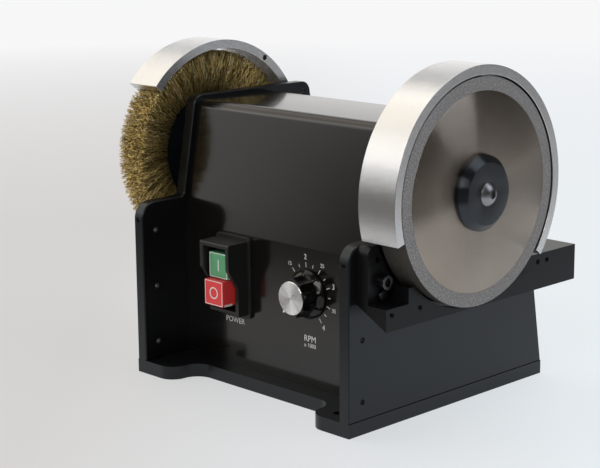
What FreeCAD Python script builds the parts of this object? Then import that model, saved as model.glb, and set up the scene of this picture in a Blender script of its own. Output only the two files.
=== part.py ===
import FreeCAD, Part
import math
import os

# Two-wheel bench grinder on a plate-built aluminium body. Millimetres, +Z up.
# X runs along the spindle, the front is at -Y, and the origin is the centre of the underside.

# Base plate and side plates
base_width = 213.0
base_depth = 200.0
base_thickness = 9.5
plate_thickness = 9.0
foot_straight = 25.5
foot_round = 12.0
recess_round = 13.0
edge_chamfer = 0.7
bench_hole_radius = 3.3
bench_hole_inset = 22.0
bench_hole_back = 13.0
lower_drop = 26.6
lower_corner_round = 12.0
shoulder_round = 4.0
slant_foot = 39.4
slant_angle = 10.2
upper_corner_round = 8.0
plate_rise = 45.8
lobe_round = 8.0
rear_lean = 31.5
accessory_hole_radius = 2.1
accessory_hole_back = 12.4
accessory_hole_lowest = 22.0
accessory_hole_pitch = 41.5
edge_hole_radius = 1.7
edge_hole_depth = 12.0
edge_hole_drop = 13.0
lobe_hole_radius = 2.6
shaft_hole_radius = 12.0

# Folded cover, rear panel
cover_lip = 3.2
cover_sheet = 2.0
cover_end_gap = 0.2
panel_back = 39.8
panel_bend_drop = 46.1
cover_bend_round = 7.0
panel_bend_round = 5.0
cover_top_back = 128.0
rear_panel_back = 172.0
rear_bend_drop = 34.6
rear_flange_height = 18.0
rear_lap = 12.0
vent_count = 9
vent_width = 4.0
vent_height = 26.0
vent_pitch = 9.0
vent_centre = 30.0
vent_middle_height = 72.0

# Spindle line
spindle_back = 88.4
spindle_height = 152.6
shaft_radius = 7.94
fit_gap = 0.02
shaft_overhang = 2.0

# Wheels and their hubs
wheel_radius = 75.0
wheel_width = 22.0
wheel_face_reach = 32.5
rim_depth = 9.0
web_recess = 8.0
web_inner_radius = 30.0
back_flange_radius = 24.0
hub_flange_radius = 25.0
hub_face_radius = 20.5
hub_flange_thickness = 7.0
hub_edge = 2.5
hub_screw_radius = 4.0
hub_screw_length = 22.0
hub_head_radius = 7.8
hub_head_height = 4.2
hub_socket_radius = 2.9
hub_socket_depth = 2.4
wire_disc_radius = 46.0
wire_disc_sheet = 2.0
wire_core_radius = 28.0
wire_root_width = 11.0
wire_tip_width = 25.0

# Guards
guard_wall = 6.35
guard_gap = 1.2
guard_standoff = 2.5
guard_proud = 0.6
guard_end_gap = 2.3
left_guard_front_angle = 49.5
guard_screw_radius = 2.0
guard_screw_depth = 10.0
guard_screw_head_radius = 3.5
guard_screw_head_height = 2.2
guard_spacer_radius = 3.0
guard_screw_angles = (-28.0, -8.0, 14.0)
guard_spare_angle = 56.0

# Accessory bar on the right side plate
bar_width = 25.0
bar_front = 7.3
bar_length = 196.0
bar_height = 25.0
bar_drop = 53.6
bar_inner_height = 11.3
bar_notch_depth = 10.3
bar_notch_length = 21.0
flange_thickness = 9.6
flange_rise = 27.6
flange_length = 24.0
flange_round = 6.5
wheel_relief = 1.5
relief_strip = 5.5
bar_hole_radius = 1.9
bar_hole_depth = 8.0
bar_front_holes = (12.7, 39.4)
bar_front_hole_drop = 14.6
bar_rear_holes = (161.0, 171.0)
bar_rear_hole_drop = 5.7
flange_hole_back = 16.5
flange_hole_rise = 18.0
bar_screw_back = 19.5
bar_screw_rise = 3.5
bar_screw_radius = 3.0
bar_head_radius = 4.8
bar_head_height = 6.0
bar_socket_radius = 2.6
bar_socket_depth = 3.2
low_screw_drop = 5.8
low_head_radius = 3.6
low_head_height = 2.4

# Motor
motor_radius = 36.0
motor_wall = 3.0
motor_length = 110.0
end_bell_length = 18.0
bearing_radius = 17.46
bearing_width = 11.0
bearing_outer_wall = 3.4
bearing_inner_wall = 3.1
bearing_seal_sheet = 1.0
bearing_seal_gap = 0.3
magnet_thickness = 7.0
magnet_length = 64.0
magnet_gap_width = 20.0
armature_gap = 0.7
armature_length = 60.0
slot_count = 12
slot_width = 3.6
slot_depth = 9.0
winding_length = 12.0
winding_inset = 1.8
commutator_radius = 11.0
commutator_length = 10.0
commutator_start = 44.0
brush_size = 6.0
brush_gap = 0.3
brush_holder_wall = 1.5
brush_holder_proud = 3.0
saddle_offset = 39.0
saddle_thickness = 8.0
saddle_half_width = 16.0
saddle_wrap = 12.0

# Switch on the front panel
switch_centre = -43.5
switch_drop = 30.5
switch_face_width = 35.0
switch_face_height = 59.0
switch_face_sheet = 2.4
switch_face_round = 3.0
shroud_width = 30.0
shroud_height = 53.0
shroud_wall = 3.2
shroud_deep = 20.0
shroud_shallow = 11.0
shroud_shoulder_rise = 8.0
shroud_curve = 14.0
button_width = 19.0
button_height = 18.4
button_round = 0.8
button_gap = 0.3
start_reach = 16.0
stop_reach = 20.8
start_travel = 3.0
stop_travel = 4.0
button_stem = 8.0
stem_reach = 5.0
stem_guide_gap = 0.3
switch_body_width = 27.0
switch_body_height = 48.0
switch_body_depth = 21.0
terminal_count = 4
terminal_width = 6.3
terminal_sheet = 0.8
terminal_length = 9.0

# Speed knob
knob_centre = 30.0
knob_drop = 31.5
knob_gap = 0.6
knob_reach = 17.0
knob_skirt_radius = 17.0
knob_skirt_depth = 4.0
knob_top_radius = 13.6
knob_flutes = 9
knob_flute_radius = 6.5
knob_flute_depth = 1.9
knob_cap_radius = 11.6
knob_cap_proud = 0.8
knob_cap_depth = 1.2
knob_shaft_radius = 3.0
pot_shaft_gap = 0.05
pot_radius = 12.0
pot_depth = 11.0
pot_bush_radius = 4.7
pot_nut_radius = 6.5
pot_nut_depth = 2.0
knob_recess_radius = 8.0
knob_recess_depth = 4.0

# Speed controller and mains inlet
board_width = 104.0
board_depth = 46.0
board_sheet = 1.6
board_back = 141.0
standoff_height = 8.0
standoff_radius = 3.0
standoff_inset = 6.0
sink_height = 34.0
sink_depth = 22.0
sink_length = 70.0
sink_foot = 4.0
fin_count = 7
fin_sheet = 1.4
capacitor_radius = 9.0
capacitor_height = 28.0
capacitor_pitch = 22.0
capacitor_inset = 2.0
inlet_centre = -58.0
inlet_height = 45.0
inlet_width = 48.0
inlet_tall = 28.0
inlet_sheet = 3.0
inlet_body_width = 28.0
inlet_body_tall = 20.5
inlet_body_depth = 20.0
inlet_mouth_width = 24.5
inlet_mouth_tall = 17.0
inlet_mouth_depth = 15.0
inlet_pin_width = 4.0
inlet_pin_sheet = 2.0
inlet_pin_pitch = 7.0
inlet_pin_length = 12.0

# Places worked out from the sizes above
front_y = -base_depth / 2
plate_outer = base_width / 2
plate_inner = plate_outer - plate_thickness
plate_top = spindle_height + plate_rise
lower_height = spindle_height - lower_drop
edge_hole_height = lower_height - edge_hole_drop
panel_bend_height = spindle_height - panel_bend_drop
rear_bend_height = spindle_height - rear_bend_drop
switch_middle_height = panel_bend_height - switch_drop
shroud_shoulder = switch_middle_height + shroud_shoulder_rise
knob_height = panel_bend_height - knob_drop
bar_top_height = spindle_height - bar_drop
bar_notch_floor = bar_top_height - bar_notch_depth
flange_height = bar_top_height + flange_rise
bar_front_hole_height = bar_top_height - bar_front_hole_drop
bar_rear_hole_height = bar_top_height - bar_rear_hole_drop
flange_hole_height = bar_top_height + flange_hole_rise
bar_screw_height = bar_top_height + bar_screw_rise
low_screw_height = bar_top_height - low_screw_drop
slant = math.tan(math.radians(slant_angle))
cover_top = plate_top - cover_lip
panel_y = front_y + panel_back
panel_inner_y = panel_y + cover_sheet
spindle_y = front_y + spindle_back
wheel_face = plate_outer + wheel_face_reach
wheel_back = wheel_face - wheel_width
hub_face = wheel_face + hub_flange_thickness
shaft_end = wheel_face + shaft_overhang
guard_inner_radius = wheel_radius + guard_gap
guard_outer_radius = guard_inner_radius + guard_wall
guard_back = plate_outer + guard_standoff
guard_face = wheel_face + guard_proud
flange_drop = bar_drop - flange_rise
guard_front_dip = math.degrees(math.asin((flange_drop - guard_end_gap) / guard_outer_radius))
guard_rear_dip = math.degrees(math.asin((bar_drop - guard_end_gap) / guard_outer_radius))
knob_front_y = panel_y - knob_reach


def box(x0, x1, y0, y1, z0, z1):
    """Block between two corners."""
    return Part.makeBox(x1 - x0, y1 - y0, z1 - z0, FreeCAD.Vector(x0, y0, z0))


def rod(radius, start, end):
    """Round bar from one point to another."""
    first = FreeCAD.Vector(*start)
    way = FreeCAD.Vector(*end) - first
    return Part.makeCylinder(radius, way.Length, first, way)


def on_spindle(radius, x0, x1):
    """Round bar on the spindle line."""
    return rod(radius, (x0, spindle_y, spindle_height), (x1, spindle_y, spindle_height))


def ring_on_spindle(outer, inner, x0, x1):
    """Ring on the spindle line."""
    return on_spindle(outer, x0, x1).cut(on_spindle(inner, x0 - 1, x1 + 1))


def turned(profile):
    """Solid turned about the spindle line from (x, radius) points."""
    points = [FreeCAD.Vector(x, spindle_y, spindle_height + r) for x, r in profile]
    face = Part.Face(Part.makePolygon(points + points[:1]))
    return face.revolve(FreeCAD.Vector(0, spindle_y, spindle_height), FreeCAD.Vector(1, 0, 0), 360)


def rounded_outline(corners):
    """Closed wire through (point, radius) corners, each rounded by an arc of its radius."""
    count = len(corners)
    starts, ends, middles = [], [], []
    for i, (point, radius) in enumerate(corners):
        before = (corners[i - 1][0] - point).normalize()
        after = (corners[(i + 1) % count][0] - point).normalize()
        half = before.getAngle(after) / 2
        reach = radius / math.tan(half)
        bisector = (before + after).normalize()
        starts.append(point + before * reach)
        ends.append(point + after * reach)
        middles.append(point + bisector * (radius / math.sin(half) - radius))
    edges = []
    for i in range(count):
        if corners[i][1] > 0:
            edges.append(Part.Arc(starts[i], middles[i], ends[i]).toShape())
        edges.append(Part.LineSegment(ends[i], starts[(i + 1) % count]).toShape())
    return Part.Wire(edges)


def side_profile(corners, x0, x1):
    """Solid between two X planes with an outline of (distance behind the front, height, radius) corners."""
    points = [(FreeCAD.Vector(x0, front_y + back, height), radius) for back, height, radius in corners]
    return Part.Face(rounded_outline(points)).extrude(FreeCAD.Vector(x1 - x0, 0, 0))


def face_plate(width, height, corner, x, z, y0, y1):
    """Rounded rectangle lying in the XZ plane, from depth y0 to y1."""
    half_w, half_h = width / 2, height / 2
    spots = [(-half_w, -half_h), (half_w, -half_h), (half_w, half_h), (-half_w, half_h)]
    points = [(FreeCAD.Vector(x + dx, y0, z + dz), corner) for dx, dz in spots]
    return Part.Face(rounded_outline(points)).extrude(FreeCAD.Vector(0, y1 - y0, 0))


def mirrored(shape):
    """Copy of a shape on the other side of the X middle."""
    return shape.mirror(FreeCAD.Vector(0, 0, 0), FreeCAD.Vector(1, 0, 0))


def chamfered_sides(shape, plane_x):
    """Small chamfer along the edges of the faces that lie on one X plane."""
    edges = [e for e in shape.Edges
             if abs(e.BoundBox.XMin - plane_x) < 1e-4 and abs(e.BoundBox.XMax - plane_x) < 1e-4
             and e.Length > 4 * lobe_hole_radius * math.pi]
    return shape.makeChamfer(edge_chamfer, edges)


def save(name, *solids):
    """Writes one node from one or more solids."""
    shape = solids[0] if len(solids) == 1 else Part.makeCompound(list(solids))
    shape.exportStep("parts/" + name + ".step")


def base_plate():
    """Plate with two front feet; each foot runs into the recessed front edge by an S of two arcs."""
    half = base_width / 2
    foot_x = half - foot_straight
    side_x = foot_x - foot_round
    recess_x = side_x - recess_round
    round_y = front_y + foot_round
    recess_y = round_y + recess_round
    quarter = math.sqrt(0.5)

    def spot(x, y):
        return FreeCAD.Vector(x, y, 0)

    def foot_arc(sign):
        middle = spot(sign * (foot_x - foot_round * quarter), round_y - foot_round * quarter)
        return Part.Arc(spot(sign * foot_x, front_y), middle, spot(sign * side_x, round_y))

    def recess_arc(sign):
        middle = spot(sign * (recess_x + recess_round * quarter), round_y + recess_round * quarter)
        return Part.Arc(spot(sign * side_x, round_y), middle, spot(sign * recess_x, recess_y))

    rear_y = front_y + base_depth
    lines = [Part.LineSegment(spot(-half, rear_y), spot(-half, front_y)),
             Part.LineSegment(spot(-half, front_y), spot(-foot_x, front_y)),
             foot_arc(-1), recess_arc(-1),
             Part.LineSegment(spot(-recess_x, recess_y), spot(recess_x, recess_y)),
             recess_arc(1), foot_arc(1),
             Part.LineSegment(spot(foot_x, front_y), spot(half, front_y)),
             Part.LineSegment(spot(half, front_y), spot(half, rear_y)),
             Part.LineSegment(spot(half, rear_y), spot(-half, rear_y))]
    outline = Part.Wire([line.toShape() for line in lines])
    plate = Part.Face(outline).extrude(FreeCAD.Vector(0, 0, base_thickness))
    for sign in (-1, 1):
        x = sign * (half - bench_hole_inset)
        y = front_y + bench_hole_back
        plate = plate.cut(rod(bench_hole_radius, (x, y, -1), (x, y, base_thickness + 1)))
    return plate


def side_plate():
    """Right side plate: low front section, slanted upper edge and a round lobe at the top rear."""
    slant_top = slant_foot + (plate_top - lower_height) * slant
    lobe_corner = base_depth - rear_lean
    outline = [(0, base_thickness, 0), (0, lower_height, lower_corner_round),
               (slant_foot, lower_height, shoulder_round), (slant_top, plate_top, upper_corner_round),
               (lobe_corner, plate_top, lobe_round), (base_depth, base_thickness, 0)]
    plate = side_profile(outline, plate_inner, plate_outer)
    for face_x in (plate_inner, plate_outer):
        plate = chamfered_sides(plate, face_x)
    hole_y = front_y + accessory_hole_back
    for i in range(3):
        z = accessory_hole_lowest + i * accessory_hole_pitch
        hole = rod(accessory_hole_radius, (plate_inner - 1, hole_y, z), (plate_outer + 1, hole_y, z))
        plate = plate.cut(hole)
    edge_x = plate_inner + plate_thickness / 2
    edge_hole = rod(edge_hole_radius, (edge_x, front_y - 1, edge_hole_height),
                    (edge_x, front_y + edge_hole_depth, edge_hole_height))
    lean = math.atan(rear_lean / (plate_top - base_thickness))
    lobe_y = front_y + lobe_corner - lobe_round * math.tan(math.pi / 4 - lean / 2)
    lobe_z = plate_top - lobe_round
    lobe_hole = rod(lobe_hole_radius, (plate_inner - 1, lobe_y, lobe_z), (plate_outer + 1, lobe_y, lobe_z))
    plate = plate.cut(edge_hole).cut(lobe_hole)
    plate = plate.cut(on_spindle(shaft_hole_radius, plate_inner - 1, plate_outer + 1))
    for angle in guard_screw_angles:
        y, z = guard_screw_spot(angle)
        plate = plate.cut(rod(guard_screw_radius, (plate_inner - 1, y, z), (plate_outer + 1, y, z)))
    return plate


def bar_screw_holes(plate):
    """Holes in the right side plate for the two screws of the accessory bar."""
    y = front_y + bar_screw_back
    for z in (bar_screw_height, low_screw_height):
        plate = plate.cut(rod(bar_screw_radius, (plate_inner - 1, y, z), (plate_outer + 1, y, z)))
    return plate


def guard_screw_spot(angle):
    """Y and Z of a guard screw, in the middle of the guard's wall, at an angle up from the rear."""
    radius = guard_inner_radius + guard_wall / 2
    turn = math.radians(angle)
    return spindle_y + radius * math.cos(turn), spindle_height + radius * math.sin(turn)


def cover_lines():
    """Outer corners of the folded cover as (distance behind the front, height)."""
    top_front = panel_back + (cover_top - panel_bend_height) * slant
    return [(panel_back, base_thickness), (panel_back, panel_bend_height), (top_front, cover_top),
            (cover_top_back, cover_top), (rear_panel_back, rear_bend_height),
            (rear_panel_back, rear_bend_height - rear_flange_height)]


def folded_sheet(corners, radii, thickness, x0, x1):
    """Sheet folded along outer corners, each with its outer bend radius, thickened inwards."""
    spots = [FreeCAD.Vector(x0, front_y + back, height) for back, height in corners]
    ways = [(spots[i + 1] - spots[i]).normalize() for i in range(len(spots) - 1)]
    inward = [FreeCAD.Vector(0, way.z, -way.y) for way in ways]
    inner = [spots[0] + inward[0] * thickness]
    for i in range(1, len(spots) - 1):
        both = (inward[i - 1] + inward[i]).normalize()
        inner.append(spots[i] + both * (thickness / both.dot(inward[i])))
    inner.append(spots[-1] + inward[-1] * thickness)
    outline = [(p, r) for p, r in zip(spots, radii)]
    outline += [(p, max(r - thickness, 0)) for p, r in zip(reversed(inner), reversed(radii))]
    return Part.Face(rounded_outline(outline)).extrude(FreeCAD.Vector(x1 - x0, 0, 0))


def front_cover():
    """Panel, slanted front, top and rear slope folded from one sheet, with the control cut-outs."""
    reach = plate_inner - cover_end_gap
    radii = [0, panel_bend_round, cover_bend_round, cover_bend_round, panel_bend_round, 0]
    cover = folded_sheet(cover_lines(), radii, cover_sheet, -reach, reach)
    window = face_plate(switch_body_width, switch_body_height, 1.0, switch_centre, switch_middle_height,
                        panel_y - 1, panel_inner_y + 1)
    bush = rod(pot_bush_radius, (knob_centre, panel_y - 1, knob_height),
               (knob_centre, panel_inner_y + 1, knob_height))
    return cover.cut(window).cut(bush)


def rear_panel():
    """Flat rear sheet lapped over the cover's rear flange, with cooling slots and the inlet cut-out."""
    reach = plate_inner - cover_end_gap
    y0 = front_y + rear_panel_back
    top = rear_bend_height - rear_flange_height + rear_lap
    panel = box(-reach, reach, y0, y0 + cover_sheet, base_thickness, top)
    first = vent_centre - vent_pitch * (vent_count - 1) / 2
    for i in range(vent_count):
        panel = panel.cut(face_plate(vent_width, vent_height, vent_width / 2 - 0.05, first + i * vent_pitch,
                                     vent_middle_height, y0 - 1, y0 + cover_sheet + 1))
    hole = face_plate(inlet_body_width, inlet_body_tall, 1.0, inlet_centre, inlet_height,
                      y0 - 1, y0 + cover_sheet + 1)
    return panel.cut(hole)


def guard(front_dip):
    """Right guard: part of a tube round the wheel, from the rear end up over the top to the front end."""
    start = -guard_rear_dip
    sweep = 180 + front_dip - start
    section = [(guard_back, guard_inner_radius), (guard_face, guard_inner_radius),
               (guard_face, guard_outer_radius), (guard_back, guard_outer_radius)]
    turn = math.radians(start)
    out = FreeCAD.Vector(0, math.cos(turn), math.sin(turn))
    centre = FreeCAD.Vector(0, spindle_y, spindle_height)
    points = [centre + out * r + FreeCAD.Vector(x, 0, 0) for x, r in section]
    face = Part.Face(Part.makePolygon(points + points[:1]))
    tube = face.revolve(centre, FreeCAD.Vector(1, 0, 0), sweep)
    for angle in (*guard_screw_angles, guard_spare_angle):
        y, z = guard_screw_spot(angle)
        end = guard_back + guard_screw_depth
        tube = tube.cut(rod(guard_screw_radius, (guard_back - 1, y, z), (end, y, z)))
    return tube


def guard_fasteners():
    """Spacers and screws of the right guard: heads inside the side plate, shanks into the guard's edge."""
    spacers, screws = [], []
    for angle in guard_screw_angles:
        y, z = guard_screw_spot(angle)
        spacer = rod(guard_spacer_radius, (plate_outer, y, z), (guard_back, y, z))
        spacers.append(spacer.cut(rod(guard_screw_radius, (plate_outer - 1, y, z), (guard_back + 1, y, z))))
        head_front = plate_inner - guard_screw_head_height
        head = rod(guard_screw_head_radius, (head_front, y, z), (plate_inner, y, z))
        shank = rod(guard_screw_radius - fit_gap, (plate_inner - fit_gap, y, z),
                    (guard_back + guard_screw_depth, y, z))
        screws.append(head.fuse(shank).removeSplitter())
    return spacers, screws


def accessory_bar():
    """Bar along the right plate: bevelled underside, notched front end, upright flange, wheel relief."""
    x0, x1 = plate_outer, plate_outer + bar_width
    y0 = front_y + bar_front
    bottom = bar_top_height - bar_height
    inner_bottom = bar_top_height - bar_inner_height
    section = [FreeCAD.Vector(x0, y0, inner_bottom), FreeCAD.Vector(x1, y0, bottom),
               FreeCAD.Vector(x1, y0, bar_top_height), FreeCAD.Vector(x0, y0, bar_top_height)]
    bar = Part.Face(Part.makePolygon(section + section[:1])).extrude(FreeCAD.Vector(0, bar_length, 0))
    flange_x = x0 + flange_thickness
    notch = box(flange_x, x1 + 1, y0 - 1, y0 + bar_notch_length, bar_notch_floor, bar_top_height + 1)
    flange = side_profile([(bar_front, inner_bottom, 0), (bar_front, flange_height, flange_round),
                           (bar_front + flange_length, flange_height, flange_round),
                           (bar_front + flange_length, inner_bottom, 0)], x0, flange_x)
    bar = bar.cut(notch).fuse(flange)
    relief = on_spindle(wheel_radius + wheel_relief, x0 + relief_strip, x1 + 1)
    bar = bar.cut(relief)
    for backs, z in ((bar_front_holes, bar_front_hole_height), (bar_rear_holes, bar_rear_hole_height)):
        for back in backs:
            y = front_y + back
            bar = bar.cut(rod(bar_hole_radius, (x1 - bar_hole_depth, y, z), (x1 + 1, y, z)))
    y = front_y + flange_hole_back
    bar = bar.cut(rod(accessory_hole_radius, (x0 - 1, y, flange_hole_height),
                      (flange_x + 1, y, flange_hole_height)))
    y = front_y + bar_screw_back
    for z in (bar_screw_height, low_screw_height):
        bar = bar.cut(rod(bar_screw_radius, (x0 - 1, y, z), (flange_x + 1, y, z)))
    return bar.removeSplitter()


def bar_screws():
    """Socket-head screw through the bar's flange, and a low round-head one under it."""
    y = front_y + bar_screw_back
    seat = plate_outer + flange_thickness
    shank = bar_screw_radius - fit_gap
    high = rod(bar_head_radius, (seat, y, bar_screw_height), (seat + bar_head_height, y, bar_screw_height))
    high = high.fuse(rod(shank, (plate_inner, y, bar_screw_height), (seat + fit_gap, y, bar_screw_height)))
    high = high.cut(rod(bar_socket_radius, (seat + bar_head_height - bar_socket_depth, y, bar_screw_height),
                        (seat + bar_head_height + 1, y, bar_screw_height)))
    low = rod(low_head_radius, (seat, y, low_screw_height), (seat + low_head_height, y, low_screw_height))
    low = low.fuse(rod(shank, (plate_inner, y, low_screw_height), (seat + fit_gap, y, low_screw_height)))
    return high.removeSplitter(), low.removeSplitter()


def spindle_shaft():
    """Plain shaft through the motor, with a tapped hole in each end for the hub screw."""
    shaft = on_spindle(shaft_radius, -shaft_end, shaft_end)
    for sign in (-1, 1):
        bottom = sign * (hub_face - hub_screw_length)
        shaft = shaft.cut(on_spindle(hub_screw_radius, bottom, sign * (shaft_end + 1)))
    return shaft


def wheel_core():
    """Steel disc, flat on its outer face and dished behind to a thinner web, with a boss at the bore."""
    bore = shaft_radius + fit_gap
    rim = wheel_radius - rim_depth
    profile = [(wheel_back, bore), (wheel_face, bore), (wheel_face, rim), (wheel_back, rim),
               (wheel_back, rim - rim_depth), (wheel_back + web_recess, rim - rim_depth - web_recess),
               (wheel_back + web_recess, web_inner_radius + web_recess), (wheel_back, web_inner_radius)]
    return turned(profile)


def back_flange():
    """Flange behind a wheel, with a boss that reaches towards the side plate."""
    bore = shaft_radius + fit_gap
    boss = (bore + back_flange_radius) / 2
    middle = (wheel_back + guard_back) / 2
    return turned([(guard_back, bore), (wheel_back, bore), (wheel_back, back_flange_radius),
                   (middle, back_flange_radius), (guard_back, boss)])


def hub_flange():
    """Outer clamping flange, chamfered to its flat face and bored blind over the shaft's end."""
    bore = shaft_radius + fit_gap
    seat = shaft_end + fit_gap
    hole = hub_screw_radius + fit_gap
    return turned([(wheel_face, bore), (seat, bore), (seat, hole), (hub_face, hole),
                   (hub_face, hub_face_radius), (wheel_face + hub_edge, hub_flange_radius),
                   (wheel_face, hub_flange_radius)])


def hub_screw():
    """Button-head screw: domed head with a six-sided socket."""
    tip = hub_face - hub_screw_length
    rise = hub_head_height
    sphere_radius = (hub_head_radius ** 2 + rise ** 2) / (2 * rise)
    centre = FreeCAD.Vector(hub_face + rise - sphere_radius, spindle_y, spindle_height)
    dome = Part.makeSphere(sphere_radius, centre)
    dome = dome.common(on_spindle(hub_head_radius, hub_face, hub_face + rise + 1))
    screw = dome.fuse(on_spindle(hub_screw_radius - fit_gap, tip, hub_face + fit_gap)).removeSplitter()
    corners = []
    for i in range(6):
        turn = math.radians(60 * i)
        corners.append(FreeCAD.Vector(hub_face + rise - hub_socket_depth,
                                      spindle_y + hub_socket_radius * math.cos(turn),
                                      spindle_height + hub_socket_radius * math.sin(turn)))
    socket = Part.Face(Part.makePolygon(corners + corners[:1]))
    socket = socket.extrude(FreeCAD.Vector(hub_socket_depth + 1, 0, 0))
    return screw.cut(socket)


def wire_wheel():
    """Spool that clamps the wires between two discs, and the flared ring of wires, on the right side."""
    bore = shaft_radius + fit_gap
    middle = (wheel_face + wheel_back) / 2
    root = wire_root_width / 2
    cheek = root + wire_disc_sheet
    spool = turned([(wheel_back, bore), (wheel_face, bore), (wheel_face, back_flange_radius),
                    (middle + cheek, back_flange_radius), (middle + cheek, wire_disc_radius),
                    (middle + root, wire_disc_radius), (middle + root, wire_core_radius),
                    (middle - root, wire_core_radius), (middle - root, wire_disc_radius),
                    (middle - cheek, wire_disc_radius), (middle - cheek, back_flange_radius),
                    (wheel_back, back_flange_radius)])
    tip = wire_tip_width / 2
    wire_foot = wire_core_radius + fit_gap
    wires = turned([(middle - root, wire_foot), (middle + root, wire_foot),
                    (middle + root, wire_disc_radius), (middle + tip, wheel_radius),
                    (middle - tip, wheel_radius), (middle - root, wire_disc_radius)])
    return spool, wires


def motor_parts():
    """Field can, its two magnets and the end bell on the right."""
    half = motor_length / 2
    bore = motor_radius - motor_wall
    can = ring_on_spindle(motor_radius, bore, -half, half)
    brush_middle = commutator_start + commutator_length / 2
    side = brush_size / 2 + brush_holder_wall
    slot = box(brush_middle - side, brush_middle + side, spindle_y - side, spindle_y + side,
               spindle_height - motor_radius - 1, spindle_height + motor_radius + 1)
    can = can.cut(slot)
    magnet_inner = bore - magnet_thickness
    magnets = ring_on_spindle(bore - fit_gap, magnet_inner, -magnet_length / 2, magnet_length / 2)
    gap = box(-magnet_length, magnet_length,
              spindle_y - magnet_gap_width / 2, spindle_y + magnet_gap_width / 2,
              spindle_height - motor_radius, spindle_height + motor_radius)
    magnets = magnets.cut(gap)
    seat = half + end_bell_length - bearing_width - motor_wall
    shoulder = shaft_radius + bearing_inner_wall
    bell = turned([(half, bore), (half, motor_radius), (half + end_bell_length - motor_wall, motor_radius),
                   (half + end_bell_length, bearing_radius + motor_wall), (half + end_bell_length, shoulder),
                   (seat + bearing_width, shoulder), (seat + bearing_width, bearing_radius),
                   (seat, bearing_radius), (seat, bearing_radius + motor_wall)])
    return can, magnets.Solids, bell, seat


def bearing(seat):
    """Sealed ball bearing on the right: outer ring, inner ring and the two seals between them."""
    outer_bore = bearing_radius - bearing_outer_wall
    inner_outer = shaft_radius + bearing_inner_wall
    outer = ring_on_spindle(bearing_radius - fit_gap, outer_bore, seat, seat + bearing_width)
    inner = ring_on_spindle(inner_outer - fit_gap, shaft_radius + fit_gap, seat, seat + bearing_width)
    seals = []
    seal_bore = inner_outer + bearing_seal_gap
    for x in (seat, seat + bearing_width - bearing_seal_sheet):
        seals.append(ring_on_spindle(outer_bore - fit_gap, seal_bore, x, x + bearing_seal_sheet))
    return outer, inner, seals


def armature():
    """Slotted core, its two rings of end windings and the commutator."""
    core_radius = motor_radius - motor_wall - magnet_thickness - armature_gap
    half = armature_length / 2
    bore = shaft_radius + fit_gap
    core = ring_on_spindle(core_radius, bore, -half, half)
    slot = box(-half - 1, half + 1, spindle_y - slot_width / 2, spindle_y + slot_width / 2,
               spindle_height + core_radius - slot_depth, spindle_height + core_radius + 1)
    for i in range(slot_count):
        core = core.cut(slot.rotated(FreeCAD.Vector(0, spindle_y, spindle_height), FreeCAD.Vector(1, 0, 0),
                                     360.0 * i / slot_count))
    windings = []
    for x0 in (-half - winding_length, half):
        windings.append(ring_on_spindle(core_radius - winding_inset, bore, x0, x0 + winding_length))
    end = commutator_start + commutator_length
    commutator = ring_on_spindle(commutator_radius, bore, commutator_start, end)
    return core, windings, commutator


def brushes():
    """Upper and lower carbon brush, each in a square holder through the field can."""
    middle = commutator_start + commutator_length / 2
    half = brush_size / 2
    side = half + brush_holder_wall
    inner = commutator_radius + brush_gap
    outer = motor_radius + brush_holder_proud
    holders, carbons = [], []
    for sign in (-1, 1):
        ends = sorted((spindle_height + sign * (inner + brush_holder_wall), spindle_height + sign * outer))
        tips = sorted((spindle_height + sign * inner, spindle_height + sign * (outer - brush_holder_wall)))
        holder = box(middle - side, middle + side, spindle_y - side, spindle_y + side, *ends)
        carbon = box(middle - half, middle + half, spindle_y - half, spindle_y + half, *tips)
        holders.append(holder.cut(carbon))
        carbons.append(carbon)
    return holders, carbons


def motor_cradle():
    """Two saddles on a shared foot that hold the field can from below."""
    top = spindle_height - motor_radius + saddle_wrap
    saddles = box(-saddle_offset, saddle_offset, spindle_y - saddle_half_width, spindle_y + saddle_half_width,
                  base_thickness, base_thickness + saddle_thickness)
    for sign in (-1, 1):
        x = sign * saddle_offset - saddle_thickness / 2
        saddles = saddles.fuse(box(x, x + saddle_thickness, spindle_y - saddle_half_width,
                                   spindle_y + saddle_half_width, base_thickness, top))
    half = motor_length / 2
    return saddles.cut(on_spindle(motor_radius + fit_gap, -half, half)).removeSplitter()


def switch_shroud():
    """Open-fronted hood round the buttons: deep at the top, an S curve, then a shallow lower part."""
    top = switch_middle_height + shroud_height / 2
    bottom = switch_middle_height - shroud_height / 2
    back = panel_back - switch_face_sheet
    deep = panel_back - shroud_deep
    shallow = panel_back - shroud_shallow
    curve = (shroud_deep - shroud_shallow) / 2
    outline = [(back, bottom, 0), (back, top, 0), (deep, top, 1.5), (deep, shroud_shoulder, curve),
               (shallow, shroud_shoulder - shroud_curve, curve), (shallow, bottom, 1.5)]
    x0 = switch_centre - shroud_width / 2
    hood = side_profile(outline, x0, x0 + shroud_width)
    inner = face_plate(shroud_width - 2 * shroud_wall, shroud_height - 2 * shroud_wall, 1.0, switch_centre,
                       switch_middle_height, front_y, panel_y + 1)
    return hood.cut(inner)


def switch_faceplate():
    """Thin plate of the switch against the panel, open where the buttons pass."""
    plate = face_plate(switch_face_width, switch_face_height, switch_face_round, switch_centre,
                       switch_middle_height, panel_y - switch_face_sheet, panel_y)
    inner = face_plate(shroud_width - 2 * shroud_wall, shroud_height - 2 * shroud_wall, 1.0, switch_centre,
                       switch_middle_height, front_y, panel_y + 1)
    return plate.cut(inner)


def button_heights():
    """Middle heights of the start and the stop button."""
    offset = button_height / 2 + button_gap
    return switch_middle_height + offset, switch_middle_height - offset


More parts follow.
